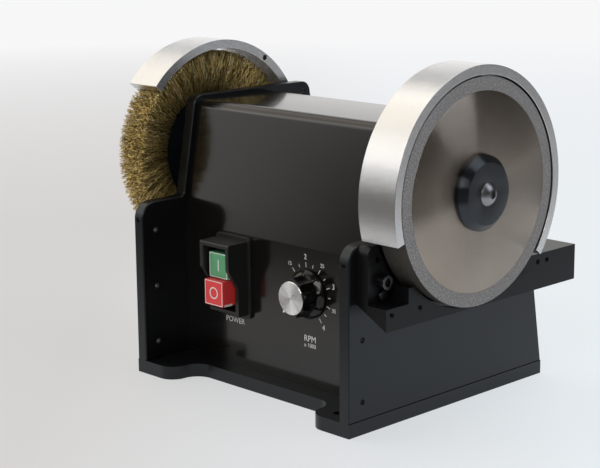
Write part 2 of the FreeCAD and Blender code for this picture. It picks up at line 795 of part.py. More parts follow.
def switch_body():
    """Contact block behind the panel, with two guides for the buttons' stems and a row of terminals."""
    body = face_plate(switch_body_width - 2 * stem_guide_gap, switch_body_height - 2 * stem_guide_gap, 1.0,
                      switch_centre, switch_middle_height, panel_y, panel_y + switch_body_depth)
    guide = button_stem / 2 + stem_guide_gap
    for z in button_heights():
        depth = panel_y + stem_reach + stop_travel + 1
        body = body.cut(box(switch_centre - guide, switch_centre + guide, panel_y - 1, depth,
                            z - guide, z + guide))
    pitch = switch_body_height / terminal_count
    first = switch_middle_height - pitch * (terminal_count - 1) / 2
    for i in range(terminal_count):
        z = first + i * pitch
        end = panel_y + switch_body_depth
        blade = box(switch_centre - terminal_width / 2, switch_centre + terminal_width / 2, end - 1,
                    end + terminal_length, z - terminal_sheet / 2, z + terminal_sheet / 2)
        body = body.fuse(blade)
    return body


def button(z, reach):
    """Square push button with a stem that runs in the contact block."""
    back = panel_y - stop_travel - 1
    cap = face_plate(button_width, button_height, button_round, switch_centre, z, panel_y - reach, back)
    half = button_stem / 2
    stem = box(switch_centre - half, switch_centre + half, back - 1, panel_y + stem_reach, z - half, z + half)
    return cap.fuse(stem).removeSplitter()


def on_knob(radius, y0, y1):
    """Round bar on the knob's line, between two depths."""
    return rod(radius, (knob_centre, y0, knob_height), (knob_centre, y1, knob_height))


def knob_body():
    """Fluted grip with a flared skirt, a recess for the cap and a hollow over the bush nut."""
    foot = panel_y - knob_gap
    waist = foot - knob_skirt_depth
    seat = knob_front_y + knob_cap_proud
    profile = [(foot, 0), (foot, knob_skirt_radius), (foot - 1.2, knob_skirt_radius),
               (waist, knob_top_radius + 1.2), (seat, knob_top_radius), (seat, 0)]
    points = [FreeCAD.Vector(knob_centre, y, knob_height + r) for y, r in profile]
    face = Part.Face(Part.makePolygon(points + points[:1]))
    body = face.revolve(FreeCAD.Vector(knob_centre, 0, knob_height), FreeCAD.Vector(0, 1, 0), 360)
    flute_at = knob_top_radius - knob_flute_depth + knob_flute_radius
    flute = rod(knob_flute_radius, (knob_centre, knob_front_y - 1, knob_height + flute_at),
                (knob_centre, waist, knob_height + flute_at))
    axis_spot = FreeCAD.Vector(knob_centre, 0, knob_height)
    for i in range(knob_flutes):
        body = body.cut(flute.rotated(axis_spot, FreeCAD.Vector(0, 1, 0), 360.0 * (i + 0.5) / knob_flutes))
    body = body.cut(on_knob(knob_cap_radius + fit_gap, seat - 1, seat + knob_cap_depth))
    body = body.cut(on_knob(knob_recess_radius, foot - knob_recess_depth, foot + 1))
    return body.cut(on_knob(knob_shaft_radius + fit_gap, seat + 2 * knob_cap_depth, foot + 1))


def knob_cap():
    """Thin metal disc let into the knob's front."""
    seat = knob_front_y + knob_cap_proud
    return on_knob(knob_cap_radius, knob_front_y, seat + knob_cap_depth)


def knob_shaft():
    """Control shaft from inside the potentiometer to the knob's bore."""
    start = knob_front_y + knob_cap_proud + 2 * knob_cap_depth
    return on_knob(knob_shaft_radius, start, panel_inner_y + pot_depth - 2)


def potentiometer():
    """Round control body behind the panel with its threaded bush and nut through the panel."""
    nut_front = panel_y - pot_nut_depth
    body = on_knob(pot_radius, panel_inner_y, panel_inner_y + pot_depth)
    body = body.fuse(on_knob(pot_bush_radius - fit_gap, nut_front, panel_inner_y + 1))
    body = body.fuse(on_knob(pot_nut_radius, nut_front, panel_y)).removeSplitter()
    bore_end = panel_inner_y + pot_depth - 1.5
    return body.cut(on_knob(knob_shaft_radius + pot_shaft_gap, nut_front - 1, bore_end))


def controller():
    """Board on four standoffs, with a finned heat sink and two round capacitors standing on it."""
    y0 = front_y + board_back - board_depth / 2
    y1 = y0 + board_depth
    z0 = base_thickness + standoff_height
    z1 = z0 + board_sheet
    half = board_width / 2
    board = box(-half, half, y0, y1, z0, z1)
    standoffs = []
    for x in (-half + standoff_inset, half - standoff_inset):
        for y in (y0 + standoff_inset, y1 - standoff_inset):
            standoffs.append(rod(standoff_radius, (x, y, base_thickness), (x, y, z0)))
    sink_x = half - sink_length
    sink_y = y1 - sink_depth
    sink = box(sink_x, half, sink_y, y1, z1, z1 + sink_foot)
    pitch = (sink_depth - fin_sheet) / (fin_count - 1)
    for i in range(fin_count):
        y = sink_y + i * pitch
        sink = sink.fuse(box(sink_x, half, y, y + fin_sheet, z1, z1 + sink_height))
    capacitors = []
    for i in range(2):
        x = -half + capacitor_radius + standoff_inset + i * capacitor_pitch
        y = y0 + capacitor_radius + capacitor_inset
        capacitors.append(rod(capacitor_radius, (x, y, z1), (x, y, z1 + capacitor_height)))
    return board, standoffs, sink.removeSplitter(), capacitors


def power_inlet():
    """Three-pin mains inlet in the rear panel: flange outside, body inside, pins in an open mouth."""
    outer = front_y + rear_panel_back + cover_sheet
    flange = face_plate(inlet_width, inlet_tall, 3.0, inlet_centre, inlet_height, outer, outer + inlet_sheet)
    body = face_plate(inlet_body_width - 2 * stem_guide_gap, inlet_body_tall - 2 * stem_guide_gap, 1.0,
                      inlet_centre, inlet_height, outer - inlet_body_depth, outer)
    face = outer + inlet_sheet
    mouth = face_plate(inlet_mouth_width, inlet_mouth_tall, 3.0, inlet_centre, inlet_height,
                       face - inlet_mouth_depth, face + 1)
    inlet = flange.fuse(body).removeSplitter().cut(mouth)
    for dx, dz in ((-inlet_pin_pitch, -1.5), (0, 2.5), (inlet_pin_pitch, -1.5)):
        x = inlet_centre + dx
        z = inlet_height + dz
        inlet = inlet.fuse(box(x - inlet_pin_sheet / 2, x + inlet_pin_sheet / 2, face - inlet_mouth_depth - 1,
                               face - inlet_mouth_depth + inlet_pin_length,
                               z - inlet_pin_width / 2, z + inlet_pin_width / 2))
    return inlet


right_plate = side_plate()
save("base_plate", base_plate())
save("left_side_plate", mirrored(right_plate))
save("right_side_plate", bar_screw_holes(right_plate))
save("front_cover", front_cover())
save("rear_panel", rear_panel())

right_spacers, right_screws = guard_fasteners()
save("right_guard", guard(guard_front_dip))
save("left_guard", mirrored(guard(left_guard_front_angle - 90)))
save("guard_spacers", *right_spacers, *[mirrored(s) for s in right_spacers])
save("guard_screws", *right_screws, *[mirrored(s) for s in right_screws])
save("accessory_bar", accessory_bar())
save("bar_screws", *bar_screws())

save("spindle_shaft", spindle_shaft())
save("wheel_core", wheel_core())
rim_bore = wheel_radius - rim_depth + fit_gap
save("abrasive_rim", ring_on_spindle(wheel_radius, rim_bore, wheel_back, wheel_face))
spool, wires = wire_wheel()
save("wire_wheel_hub", mirrored(spool))
save("wire_bristles", mirrored(wires))
for side_name, place in (("right", lambda s: s), ("left", mirrored)):
    save(side_name + "_back_flange", place(back_flange()))
    save(side_name + "_hub_flange", place(hub_flange()))
    save(side_name + "_hub_screw", place(hub_screw()))

can, magnets, bell, bearing_seat = motor_parts()
save("motor_can", can)
save("field_magnets", *magnets)
save("right_end_bell", bell)
save("left_end_bell", mirrored(bell))
outer_ring, inner_ring, seals = bearing(bearing_seat)
save("bearing_outer_rings", outer_ring, mirrored(outer_ring))
save("bearing_inner_rings", inner_ring, mirrored(inner_ring))
save("bearing_seals", *seals, *[mirrored(s) for s in seals])
core, windings, commutator = armature()
save("armature_core", core)
save("armature_windings", *windings)
save("commutator", commutator)
holders, carbons = brushes()
save("brush_holders", *holders)
save("carbon_brushes", *carbons)
save("motor_cradle", motor_cradle())

start_height, stop_height = button_heights()
save("switch_shroud", switch_shroud())
save("switch_faceplate", switch_faceplate())
save("switch_body", switch_body())
save("start_button", button(start_height, start_reach))
save("stop_button", button(stop_height, stop_reach))
save("knob_body", knob_body())
save("knob_cap", knob_cap())
save("knob_shaft", knob_shaft())
save("potentiometer", potentiometer())

board, standoffs, sink, capacitors = controller()
save("controller_board", board)
save("board_standoffs", *standoffs)
save("heat_sink", sink)
save("capacitors", *capacitors)
save("power_inlet", power_inlet())
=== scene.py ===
"""Dresses a packed bench grinder: plate body, two wheels with guards, switch and speed knob."""
import math

import bmesh
import bpy
import numpy as np
from bpy.props import FloatProperty, FloatVectorProperty, IntProperty, PointerProperty
from mathutils import Matrix, Vector


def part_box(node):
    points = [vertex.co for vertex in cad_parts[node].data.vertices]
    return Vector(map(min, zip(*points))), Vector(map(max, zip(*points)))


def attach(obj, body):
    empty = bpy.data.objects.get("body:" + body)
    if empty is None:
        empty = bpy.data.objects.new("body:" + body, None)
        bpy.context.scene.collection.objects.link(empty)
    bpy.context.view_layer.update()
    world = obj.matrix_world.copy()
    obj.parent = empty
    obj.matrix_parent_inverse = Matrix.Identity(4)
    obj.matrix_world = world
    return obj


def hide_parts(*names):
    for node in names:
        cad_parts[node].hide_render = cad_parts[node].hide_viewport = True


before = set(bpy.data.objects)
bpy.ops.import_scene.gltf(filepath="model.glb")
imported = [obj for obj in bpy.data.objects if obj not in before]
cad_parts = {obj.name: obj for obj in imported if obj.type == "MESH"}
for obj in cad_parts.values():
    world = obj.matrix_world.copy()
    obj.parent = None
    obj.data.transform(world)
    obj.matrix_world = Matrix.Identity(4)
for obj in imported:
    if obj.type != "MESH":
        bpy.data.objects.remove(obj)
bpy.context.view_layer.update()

bl_info = {
    "name": "Bench grinder dressing",
    "version": (1, 0, 0),
    "blender": (4, 5, 0),
    "location": "3D View > Sidebar > Grinder",
    "description": "Surfaces, finishes and stage of a plate-built bench grinder",
    "category": "Object",
}

MM = 0.001


def box_of(node):
    """Lowest and highest corner of a node as numpy arrays."""
    low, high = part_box(node)
    return np.array(low), np.array(high)


def middle_of(node):
    """Middle of a node's box."""
    low, high = box_of(node)
    return (low + high) / 2


RIM_LOW, RIM_HIGH = box_of("abrasive_rim")
WHEEL_BACK = RIM_LOW[0]
WHEEL_FACE = RIM_HIGH[0]
WHEEL_RADIUS = (RIM_HIGH - RIM_LOW)[2] / 2
SPINDLE_Y, SPINDLE_Z = middle_of("abrasive_rim")[1:]
SPINDLE_SPOT = (0, SPINDLE_Y, SPINDLE_Z)
SPINDLE_AXIS = (1, 0, 0)
SHAFT_RADIUS = box_of("spindle_shaft")[1][2] - SPINDLE_Z
PANEL_Y = box_of("switch_faceplate")[1][1]
KNOB_X, KNOB_Z = middle_of("knob_cap")[[0, 2]]
KNOB_SPOT = (KNOB_X, 0, KNOB_Z)
KNOB_AXIS = (0, 1, 0)

BUTTON_SLOTS = {"start_button": "green_plastic", "stop_button": "red_plastic"}
# Radius of a ring that closes to a point, and distances within which points are merged.
POLE = 1e-9
SEAM = 1e-7
NODE_SEAM = 2e-6
# Angles in degrees above which an edge is sharp.
SOFT_ANGLE = 35.0
CRISP_ANGLE = 30.0
# Thickness of printed marks, how far they sink in, and thickness of letters.
INK_FILM = 0.06 * MM
INK_ROOT = 0.02 * MM
LETTER_FILM = 0.04 * MM
# Picture size and focal length, in pixels.
PICTURE_WIDTH = 600
FOCAL_PIXELS = 1613.5


def length_property(name, description, default):
    """A length in metres that a user would change."""
    return FloatProperty(name=name, description=description, default=default, unit="LENGTH")


def count_property(name, description, default, least):
    """A whole number that a user would change."""
    return IntProperty(name=name, description=description, default=default, min=least)


def angle_property(name, description, default):
    """An angle in radians that a user would change."""
    return FloatProperty(name=name, description=description, default=default, subtype="ANGLE")


def colour_property(name, description, red, green, blue):
    """An opaque colour that a user would change."""
    return FloatVectorProperty(name=name, description=description, subtype="COLOR", size=4,
                               default=(red, green, blue, 1))


class GrinderSizes(bpy.types.PropertyGroup):
    """Sizes of the fine detail that the solids leave out."""
    edge_round: length_property("Edge round", "Small round on machined edges", 0.00045)
    moulded_round: length_property("Moulded round", "Round on moulded plastic edges", 0.0007)
    wire_count: count_property("Wires per bundle", "Wires in each of the bristle pieces", 2600, 100)
    wire_bundles: count_property("Bundles", "Number of bristle pieces", 7, 1)
    wire_radius: length_property("Wire radius", "Half the thickness of one wire", 0.00021)
    crimp_height: length_property("Crimp height", "Sideways swing of a crimped wire", 0.0010)
    turn_steps: count_property("Turn steps", "Steps round a turned surface", 192, 24)


class GrinderColours(bpy.types.PropertyGroup):
    """Base colours of the finishes."""
    plate: colour_property("Plates", "Black anodised plate", 0.0045, 0.0045, 0.005)
    cover: colour_property("Cover", "Gloss black sheet", 0.0052, 0.0045, 0.0042)
    aluminium: colour_property("Guards", "Bare aluminium", 0.76, 0.765, 0.775)
    steel: colour_property("Wheel", "Turned steel", 0.335, 0.29, 0.25)
    grit: colour_property("Grit", "Abrasive rim", 0.30, 0.297, 0.30)
    brass: colour_property("Wires", "Brass-coated wire", 0.84, 0.63, 0.23)
    plastic: colour_property("Plastic", "Black moulded plastic", 0.012, 0.012, 0.012)
    red: colour_property("Stop", "Stop button", 0.74, 0.045, 0.05)
    green: colour_property("Start", "Start button", 0.11, 0.39, 0.19)
    ink: colour_property("Ink", "Printed marks", 0.82, 0.82, 0.82)


class GrinderStage(bpy.types.PropertyGroup):
    """Camera and floor."""
    camera_place: FloatVectorProperty(name="Camera", description="Place of the camera", subtype="XYZ",
                                      size=3, default=(0.78555, -0.80745, 0.34969))
    camera_yaw: angle_property("Yaw", "Turn of the view from +Y", 0.7958)
    camera_pitch: angle_property("Pitch", "Dip of the view", 0.2157)
    camera_roll: angle_property("Roll", "Roll of the view", -0.0081)
    focal: FloatProperty(name="Focal", description="Focal length in image widths",
                         default=FOCAL_PIXELS / PICTURE_WIDTH)
    floor: colour_property("Floor", "Floor colour", 0.86, 0.86, 0.88)


def sizes():
    """The scene's sizes."""
    return bpy.context.scene.grinder_sizes


def colours():
    """The scene's colours."""
    return bpy.context.scene.grinder_colours


class Shade:
    """A socket that can stand in an expression; each operation adds a Math node."""

    def __init__(self, finish, socket):
        self.finish = finish
        self.socket = socket

    def math(self, operation, first, second=None):
        values = {0: first} if second is None else {0: first, 1: second}
        node = self.finish.node("ShaderNodeMath", {"operation": operation}, values)
        return Shade(self.finish, node.outputs[0])

    def __add__(self, other):
        return self.math("ADD", self, other)

    def __radd__(self, other):
        return self.math("ADD", other, self)

    def __sub__(self, other):
        return self.math("SUBTRACT", self, other)

    def __rsub__(self, other):
        return self.math("SUBTRACT", other, self)

    def __mul__(self, other):
        return self.math("MULTIPLY", self, other)

    def __rmul__(self, other):
        return self.math("MULTIPLY", other, self)

    def __truediv__(self, other):
        return self.math("DIVIDE", self, other)

    def __pow__(self, other):
        return self.math("POWER", self, other)

    def above(self, limit):
        return self.math("GREATER_THAN", self, limit)

    def clamped(self):
        return self.math("MINIMUM", self.math("MAXIMUM", self, 0.0), 1.0)


class Nodes:
    """A node tree to which expressions add nodes."""

    def __init__(self, owner):
        owner.use_nodes = True
        self.tree = owner.node_tree

    def node(self, kind, settings=None, sockets=None):
        """One node: its settings first, then the values or links of its sockets."""
        made = self.tree.nodes.new(kind)
        for key, value in (settings or {}).items():
            if key == "stops":
                self._stops(made.color_ramp, value)
            else:
                setattr(made, key, value)
        for key, value in (sockets or {}).items():
            self.feed(made.inputs[key], value)
        return made

    def _stops(self, ramp, stops):
        while len(ramp.elements) < len(stops):
            ramp.elements.new(0.5)
        for element, (place, colour) in zip(ramp.elements, stops):
            element.position = place
            element.color = colour

    def feed(self, socket, value):
        if isinstance(value, Shade):
            self.tree.links.new(value.socket, socket)
        elif isinstance(value, bpy.types.NodeSocket):
            self.tree.links.new(value, socket)
        else:
            socket.default_value = value


class Finish(Nodes):
    """A material whose shader is one Principled BSDF; the constants are set on its own sockets."""

    def __init__(self, name, **constants):
        self.material = bpy.data.materials.new(name)
        super().__init__(self.material)
        self.shader = self.tree.nodes["Principled BSDF"]
        self.set(**constants)

    def place(self, centre=(0, 0, 0), stretch=(1, 1, 1)):
        """Object coordinates, moved so that centre is their zero, then stretched."""
        coordinates = self.node("ShaderNodeTexCoord")
        moved = self.node("ShaderNodeVectorMath", {"operation": "SUBTRACT"},
                          {0: coordinates.outputs["Object"], 1: tuple(centre)})
        return self.node("ShaderNodeVectorMath", {"operation": "MULTIPLY"},
                         {0: moved.outputs[0], 1: tuple(stretch)}).outputs[0]

    def noise(self, where, scale, detail=3.0, roughness=0.55):
        node = self.node("ShaderNodeTexNoise", {}, {"Vector": where, "Scale": scale, "Detail": detail,
                                                    "Roughness": roughness})
        return Shade(self, node.outputs["Fac"])

    def noise_of(self, detail, roughness, *values):
        """Noise read at the point whose axes are up to three values."""
        where = self.node("ShaderNodeCombineXYZ", {}, dict(enumerate(values)))
        return self.noise(where.outputs[0], 1.0, detail, roughness)

    def axes(self, where):
        parts = self.node("ShaderNodeSeparateXYZ", {}, {0: where})
        return [Shade(self, out) for out in parts.outputs]

    def mix(self, factor, first, second):
        node = self.node("ShaderNodeMix", {"data_type": "RGBA"}, {0: factor, 6: first, 7: second})
        return node.outputs[2]

    def shades(self, factor, base, dark, light):
        """Colour between a darker and a lighter shade of a base."""
        return self.mix(factor, shade_of(base, dark), shade_of(base, light))

    def bump(self, height, strength, distance):
        node = self.node("ShaderNodeBump", {}, {"Strength": strength, "Distance": distance,
                                                "Height": height})
        self.feed(self.shader.inputs["Normal"], node.outputs[0])

    def vector(self, operation, first, second=None):
        values = {0: first} if second is None else {0: first, 1: second}
        return self.node("ShaderNodeVectorMath", {"operation": operation}, values).outputs[0]

    def lathe_lines(self, centre, axis, tip, lean=0.0):
        """Normal tipped across lines round an axis: by a random share of tip, and outwards by lean."""
        fine = 1e4
        where = self.place(centre, (fine, fine, fine))
        line = self.vector("CROSS_PRODUCT", axis, where)
        chance = self.node("ShaderNodeTexWhiteNoise", {"noise_dimensions": "3D"}, {"Vector": where})
        wave = Shade(self, chance.outputs["Value"]) - 0.5
        to_world = {"vector_type": "VECTOR", "convert_from": "OBJECT", "convert_to": "WORLD"}
        turned = self.node("ShaderNodeVectorTransform", to_world, {0: line}).outputs[0]
        normal = self.node("ShaderNodeNewGeometry").outputs["Normal"]
        across = self.vector("NORMALIZE", self.vector("CROSS_PRODUCT", turned, normal))
        offset = self.node("ShaderNodeVectorMath", {"operation": "SCALE"},
                           {0: across, "Scale": wave * tip + lean})
        self.set(Normal=self.vector("NORMALIZE", self.vector("ADD", normal, offset.outputs[0])))

    def set(self, **links):
        for socket, value in links.items():
            self.feed(self.shader.inputs[socket.replace("_", " ")], value)


def shade_of(colour, factor):
    """A colour made lighter or darker."""
    return tuple(min(c * factor, 1.0) for c in colour[:3]) + (1.0,)


def around(finish):
    """Place along the spindle line, distance from it and angle round it, at a point of the surface."""
    x, y, z = finish.axes(finish.place(SPINDLE_SPOT))
    radius = (y * y + z * z) ** 0.5
    angle = x.math("ARCTAN2", z, y)
    return x, radius, angle


def anodised_finish(name, gloss, tint=(1, 1, 1, 1)):
    """Black anodised plate: fine grain in roughness, a faint cloud in the colour."""
    finish = Finish(name, Specular_IOR_Level=gloss, Specular_Tint=tint)
    where = finish.place()
    cloud = finish.noise(where, 24, 4)
    grain = finish.noise(where, 2600, 2)
    base = tuple(colours().plate)
    finish.set(Base_Color=finish.shades(cloud, base, 0.75, 1.5),
               Roughness=0.24 + cloud * 0.10 + grain * 0.08)
    finish.bump(grain, 0.04, 0.0002)
    return finish.material


def gloss_finish():
    """Gloss black sheet with a faint orange peel and a few dull wipes."""
    finish = Finish("gloss_black", Specular_IOR_Level=0.45, Coat_Roughness=0.03)
    where = finish.place()
    peel = finish.noise(where, 420, 2)
    wipe = finish.noise(finish.place((0, 0, 0), (1, 3, 3)), 9, 4)
    base = tuple(colours().cover)
    finish.set(Base_Color=finish.shades(wipe, base, 0.8, 1.35),
               Roughness=0.11 + wipe * 0.10, Coat_Weight=0.16 + wipe * 0.14)
    finish.bump(peel, 0.02, 0.0002)
    return finish.material


def guard_finish():
    """Aluminium tube turned on a lathe: fine lines round the ring, with a slow cloud."""
    finish = Finish("turned_aluminium", Metallic=1.0)
    x, radius, angle = around(finish)
    groove = finish.noise_of(4, 0.65, x * 2600.0, radius * 2600.0, angle * 1.5)
    cloud = finish.noise(finish.place(), 30, 3)
    base = tuple(colours().aluminium)
    finish.set(Base_Color=finish.shades(groove, base, 0.92, 1.06),
               Roughness=0.23 + groove * 0.04 + cloud * 0.02)
    finish.lathe_lines(SPINDLE_SPOT, SPINDLE_AXIS, 0.45)
    return finish.material


def wheel_finish():
    """Turned steel face: concentric lathe lines, a brown cast and a faint stain."""
    finish = Finish("turned_steel", Metallic=1.0)
    x, radius, angle = around(finish)
    groove = finish.noise_of(4, 0.7, radius * 6000.0, angle * 0.9, x * 300.0)
    band = finish.noise_of(3, 0.55, radius * 420.0)
    stain = finish.noise(finish.place(), 38, 5)
    base = tuple(colours().steel)
    tone = finish.shades(stain, base, 0.86, 1.1)
    finish.set(Base_Color=finish.mix(band * 0.35, tone, shade_of(base, 0.72)),
               Roughness=0.08 + groove * 0.08 + stain * 0.06)
    finish.lathe_lines(SPINDLE_SPOT, SPINDLE_AXIS, 0.7, 0.17)
    return finish.material


def grit_finish():
    """Plated abrasive: grains of light and dark grey with a rough surface; off the face it is near black,
    partly its own colour and partly painted shade.
    """
    finish = Finish("abrasive_grit", Metallic=0.25)
    where = finish.place()
    grain = finish.node("ShaderNodeTexVoronoi", {"feature": "F1"}, {"Vector": where, "Scale": 1100.0})
    speck = finish.noise(where, 820, 2, 0.75)
    base = tuple(colours().grit)
    tone = finish.shades((speck * 4.0 - 1.5).clamped(), base, 0.5, 1.75)
    tone = finish.mix(Shade(finish, grain.outputs["Distance"]).clamped(), tone, shade_of(base, 0.8))
    # Near-black colour off the wheel's face: partly the abrasive's own darker colour, partly painted
    # shade from the guard.
    dark_grit_and_shade = (0.055, 0.05, 0.042, 1)
    face_edge = 0.3 * MM
    on_face = finish.axes(where)[0].above(WHEEL_FACE - face_edge)
    finish.set(Base_Color=finish.mix(on_face, dark_grit_and_shade, tone), Roughness=0.52 + speck * 0.25)
    finish.bump(speck, 0.75, 0.0004)
    return finish.material


def brass_finish():
    """Crimped brass-coated wire: each wire has its own tone, from straw to burnt brown, and painted shade
    darkens it towards the root.
    """
    finish = Finish("brass_wire", Metallic=0.7)
    tone = Shade(finish, finish.node("ShaderNodeAttribute", {"attribute_name": "tone"}).outputs["Fac"])
    depth = Shade(finish, finish.node("ShaderNodeAttribute", {"attribute_name": "depth"}).outputs["Fac"])
    base = tuple(colours().brass)
    ramp = finish.node("ShaderNodeValToRGB", {"stops": [
        (0.0, shade_of(base, 0.12)), (0.35, shade_of(base, 0.58)), (0.7, shade_of(base, 1.2)),
        (1.0, (1.0, 0.9, 0.6, 1))]}, {0: tone})
    # The depth attribute lays painted shade on each wire: dark at the root, full colour towards the tip.
    finish.set(Base_Color=finish.mix(depth, shade_of(base, 0.25), ramp.outputs[0]),
               Roughness=0.22 + tone * 0.12)
    return finish.material


def black_metal_finish():
    """Blackened steel hub: satin, with lathe lines that draw out its glints."""
    finish = Finish("blackened_metal", Specular_IOR_Level=0.6, Specular_Tint=(0.80, 0.90, 1.0, 1))
    x, radius, angle = around(finish)
    groove = finish.noise_of(3, 0.6, radius * 4200.0, angle * 0.8, x * 4200.0)
    finish.set(Base_Color=finish.mix(groove, (0.004, 0.0048, 0.006, 1), (0.010, 0.012, 0.015, 1)),
               Roughness=0.12 + groove * 0.08)
    finish.lathe_lines(SPINDLE_SPOT, SPINDLE_AXIS, 0.5)
    return finish.material


def plastic_finish(name, base, rough=0.38, grain_depth=0.08, gloss=0.5):
    """Moulded plastic: fine spark texture and a slow change of gloss."""
    finish = Finish(name, Specular_IOR_Level=gloss)
    where = finish.place()
    spark = finish.noise(where, 3200, 2)
    slow = finish.noise(where, 60, 3)
    finish.set(Base_Color=finish.shades(slow, base, 0.86, 1.14),
               Roughness=rough + slow * 0.10)
    finish.bump(spark, grain_depth, 0.00015)
    return finish.material


def ink_finish():
    """Screen-printed white: slightly uneven cover."""
    finish = Finish("printed_white", Roughness=0.45)
    base = tuple(colours().ink)
    speck = finish.noise(finish.place(), 1800, 2)
    finish.set(Base_Color=finish.mix(speck, shade_of(base, 0.82), base))
    return finish.material


def metal_finish(name, base, rough=0.3):
    """Plain machined metal with a fine grain."""
    finish = Finish(name, Metallic=1.0)
    grain = finish.noise(finish.place(), 900, 3)
    finish.set(Base_Color=finish.shades(grain, base, 0.85, 1.1),
               Roughness=rough + grain * 0.12)
    finish.bump(grain, 0.05, 0.0002)
    return finish.material


def spun_finish():
    """Spun aluminium disc on the knob: rings about the knob's own line."""
    finish = Finish("spun_aluminium", Metallic=1.0)
    x, _, z = finish.axes(finish.place(KNOB_SPOT))
    radius = (x * x + z * z) ** 0.5
    angle = x.math("ARCTAN2", z, x)
    groove = finish.noise_of(3, 0.7, radius * 7000.0, angle * 0.8)
    finish.set(Base_Color=finish.mix(groove, (0.78, 0.78, 0.77, 1), (0.92, 0.92, 0.91, 1)),
               Roughness=0.12 + groove * 0.08)
    finish.lathe_lines(KNOB_SPOT, KNOB_AXIS, 0.8)
    return finish.material


def new_piece(name, verts, faces, material, body, smooth_angle=SOFT_ANGLE, caps=()):
    """Piece from arrays of points and quads, with optional caps; seams closed, faces turned out."""
    mesh = bpy.data.meshes.new(name)
    listed = [tuple(f) for f in np.asarray(faces).tolist()] + [tuple(c) for c in caps]
    mesh.from_pydata(np.asarray(verts, float).tolist(), [], listed)
    work = bmesh.new()
    work.from_mesh(mesh)
    bmesh.ops.remove_doubles(work, verts=work.verts, dist=SEAM)
    bmesh.ops.recalc_face_normals(work, faces=work.faces)
    work.to_mesh(mesh)
    work.free()
    mesh.shade_smooth()
    mesh.set_sharp_from_angle(angle=math.radians(smooth_angle))
    return add_piece(name, mesh, material, body)


def add_piece(name, mesh, material, body):
    """Puts a mesh into the scene as a piece that rides on its body."""
    mesh.materials.clear()
    mesh.materials.append(material)
    piece = bpy.data.objects.new(name, mesh)
    bpy.context.scene.collection.objects.link(piece)
    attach(piece, body)
    return piece


def grid_faces(rows, columns, close_rows=False, close_columns=False):
    """Quads of a grid of points, rows by columns, wrapped where asked."""
    i = np.arange(rows if close_rows else rows - 1)[:, None]
    j = np.arange(columns if close_columns else columns - 1)[None, :]
    i2 = (i + 1) % rows
    j2 = (j + 1) % columns
    corners = [i * columns + j, i * columns + j2, i2 * columns + j2, i2 * columns + j]
    return np.stack([np.broadcast_to(c, (i.size, j.size)) for c in corners], -1).reshape(-1, 4)


def rounded_path(points, rounds, steps=5):
    """Closed outline: each corner becomes an arc, a blend from one tangent point to the other."""
    points = np.asarray(points, float)
    before = np.roll(points, 1, 0) - points
    after = np.roll(points, -1, 0) - points
    before /= np.linalg.norm(before, axis=1, keepdims=True)
    after /= np.linalg.norm(after, axis=1, keepdims=True)
    half = np.arccos(np.clip((before * after).sum(1), -1, 1)) / 2
    radius = np.asarray(rounds, float) * np.ones(len(points))
    reach = (radius / np.tan(half))[:, None]
    centre = points + (before + after) / np.linalg.norm(before + after, axis=1, keepdims=True) \
        * (radius / np.sin(half))[:, None]
    start = points + before * reach - centre
    end = points + after * reach - centre
    t = np.linspace(0, 1, steps)[None, :, None]
    blend = start[:, None] * (1 - t) + end[:, None] * t
    length = np.linalg.norm(blend, axis=2, keepdims=True)
    blend *= radius[:, None, None] / np.maximum(length, 1e-12)
    return (centre[:, None] + blend).reshape(-1, 2)


def full_turn(steps):
    """Angles of a whole turn in equal steps."""
    return 2 * math.pi * np.arange(steps) / steps


def turned_points(profile, steps, mirror=False):
    """Profile of (x, radius) carried round the spindle line: y and z are radius times cosine and sine."""
    turn = full_turn(steps)
    profile = np.asarray(profile, float)
    sign = -1.0 if mirror else 1.0
    x = np.broadcast_to(sign * profile[None, :, 0], (steps, len(profile)))
    y = SPINDLE_Y + profile[None, :, 1] * np.cos(turn)[:, None]
    z = SPINDLE_Z + profile[None, :, 1] * np.sin(turn)[:, None]
    return np.stack([x, y, z], -1)


def turned_piece(name, profile, material, body, mirror=False):
    """Whole turned piece from a closed profile."""
    points = turned_points(profile, sizes().turn_steps, mirror)
    faces = grid_faces(*points.shape[:2], True, True)
    return new_piece(name, points.reshape(-1, 3), faces, material, body)


def dressed_copy(node, material, body, edge, segments=2):
    """Merged copy of a node's own form with a small round on its edges; it stands for the node."""
    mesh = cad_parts[node].data.copy()
    work = bmesh.new()
    work.from_mesh(mesh)
    bmesh.ops.remove_doubles(work, verts=work.verts, dist=NODE_SEAM)
    bmesh.ops.dissolve_limit(work, angle_limit=math.radians(0.5), verts=work.verts, edges=work.edges)
    work.to_mesh(mesh)
    work.free()
    mesh.shade_smooth()
    mesh.set_sharp_from_angle(angle=math.radians(25))
    piece = add_piece(node + "_dressed", mesh, material, body)
    bevel = piece.modifiers.new("edge_round", "BEVEL")
    bevel.width = edge
    bevel.segments = segments
    bevel.limit_method = "ANGLE"
    bevel.angle_limit = math.radians(40)
    bevel.harden_normals = True
    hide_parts(node)
    return piece


def paint(node, material):
    """Gives a node that keeps its own mesh a better material."""
    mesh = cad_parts[node].data
    mesh.materials.clear()
    mesh.materials.append(material)


class GRINDER_OT_plates(bpy.types.Operator):
    """Base plate, side plates and accessory bar in black anodised aluminium"""
    bl_idname = "grinder.plates"
    bl_label = "Plates"

    def execute(self, context):
        plate = anodised_finish("anodised_plate", 0.45, (0.82, 0.92, 1.0, 1))
        for node in ("base_plate", "left_side_plate", "right_side_plate"):
            dressed_copy(node, plate, "frame", sizes().edge_round)
        bar = anodised_finish("anodised_bar", 0.23, (0.88, 0.94, 1.0, 1))
        dressed_copy("accessory_bar", bar, "frame", sizes().edge_round)
        return {"FINISHED"}


class GRINDER_OT_cover(bpy.types.Operator):
    """Folded gloss cover and the rear panel"""
    bl_idname = "grinder.cover"
    bl_label = "Cover"

    def execute(self, context):
        finish = gloss_finish()
        for node in ("front_cover", "rear_panel"):
            dressed_copy(node, finish, "frame", sizes().edge_round / 2, 1)
        return {"FINISHED"}


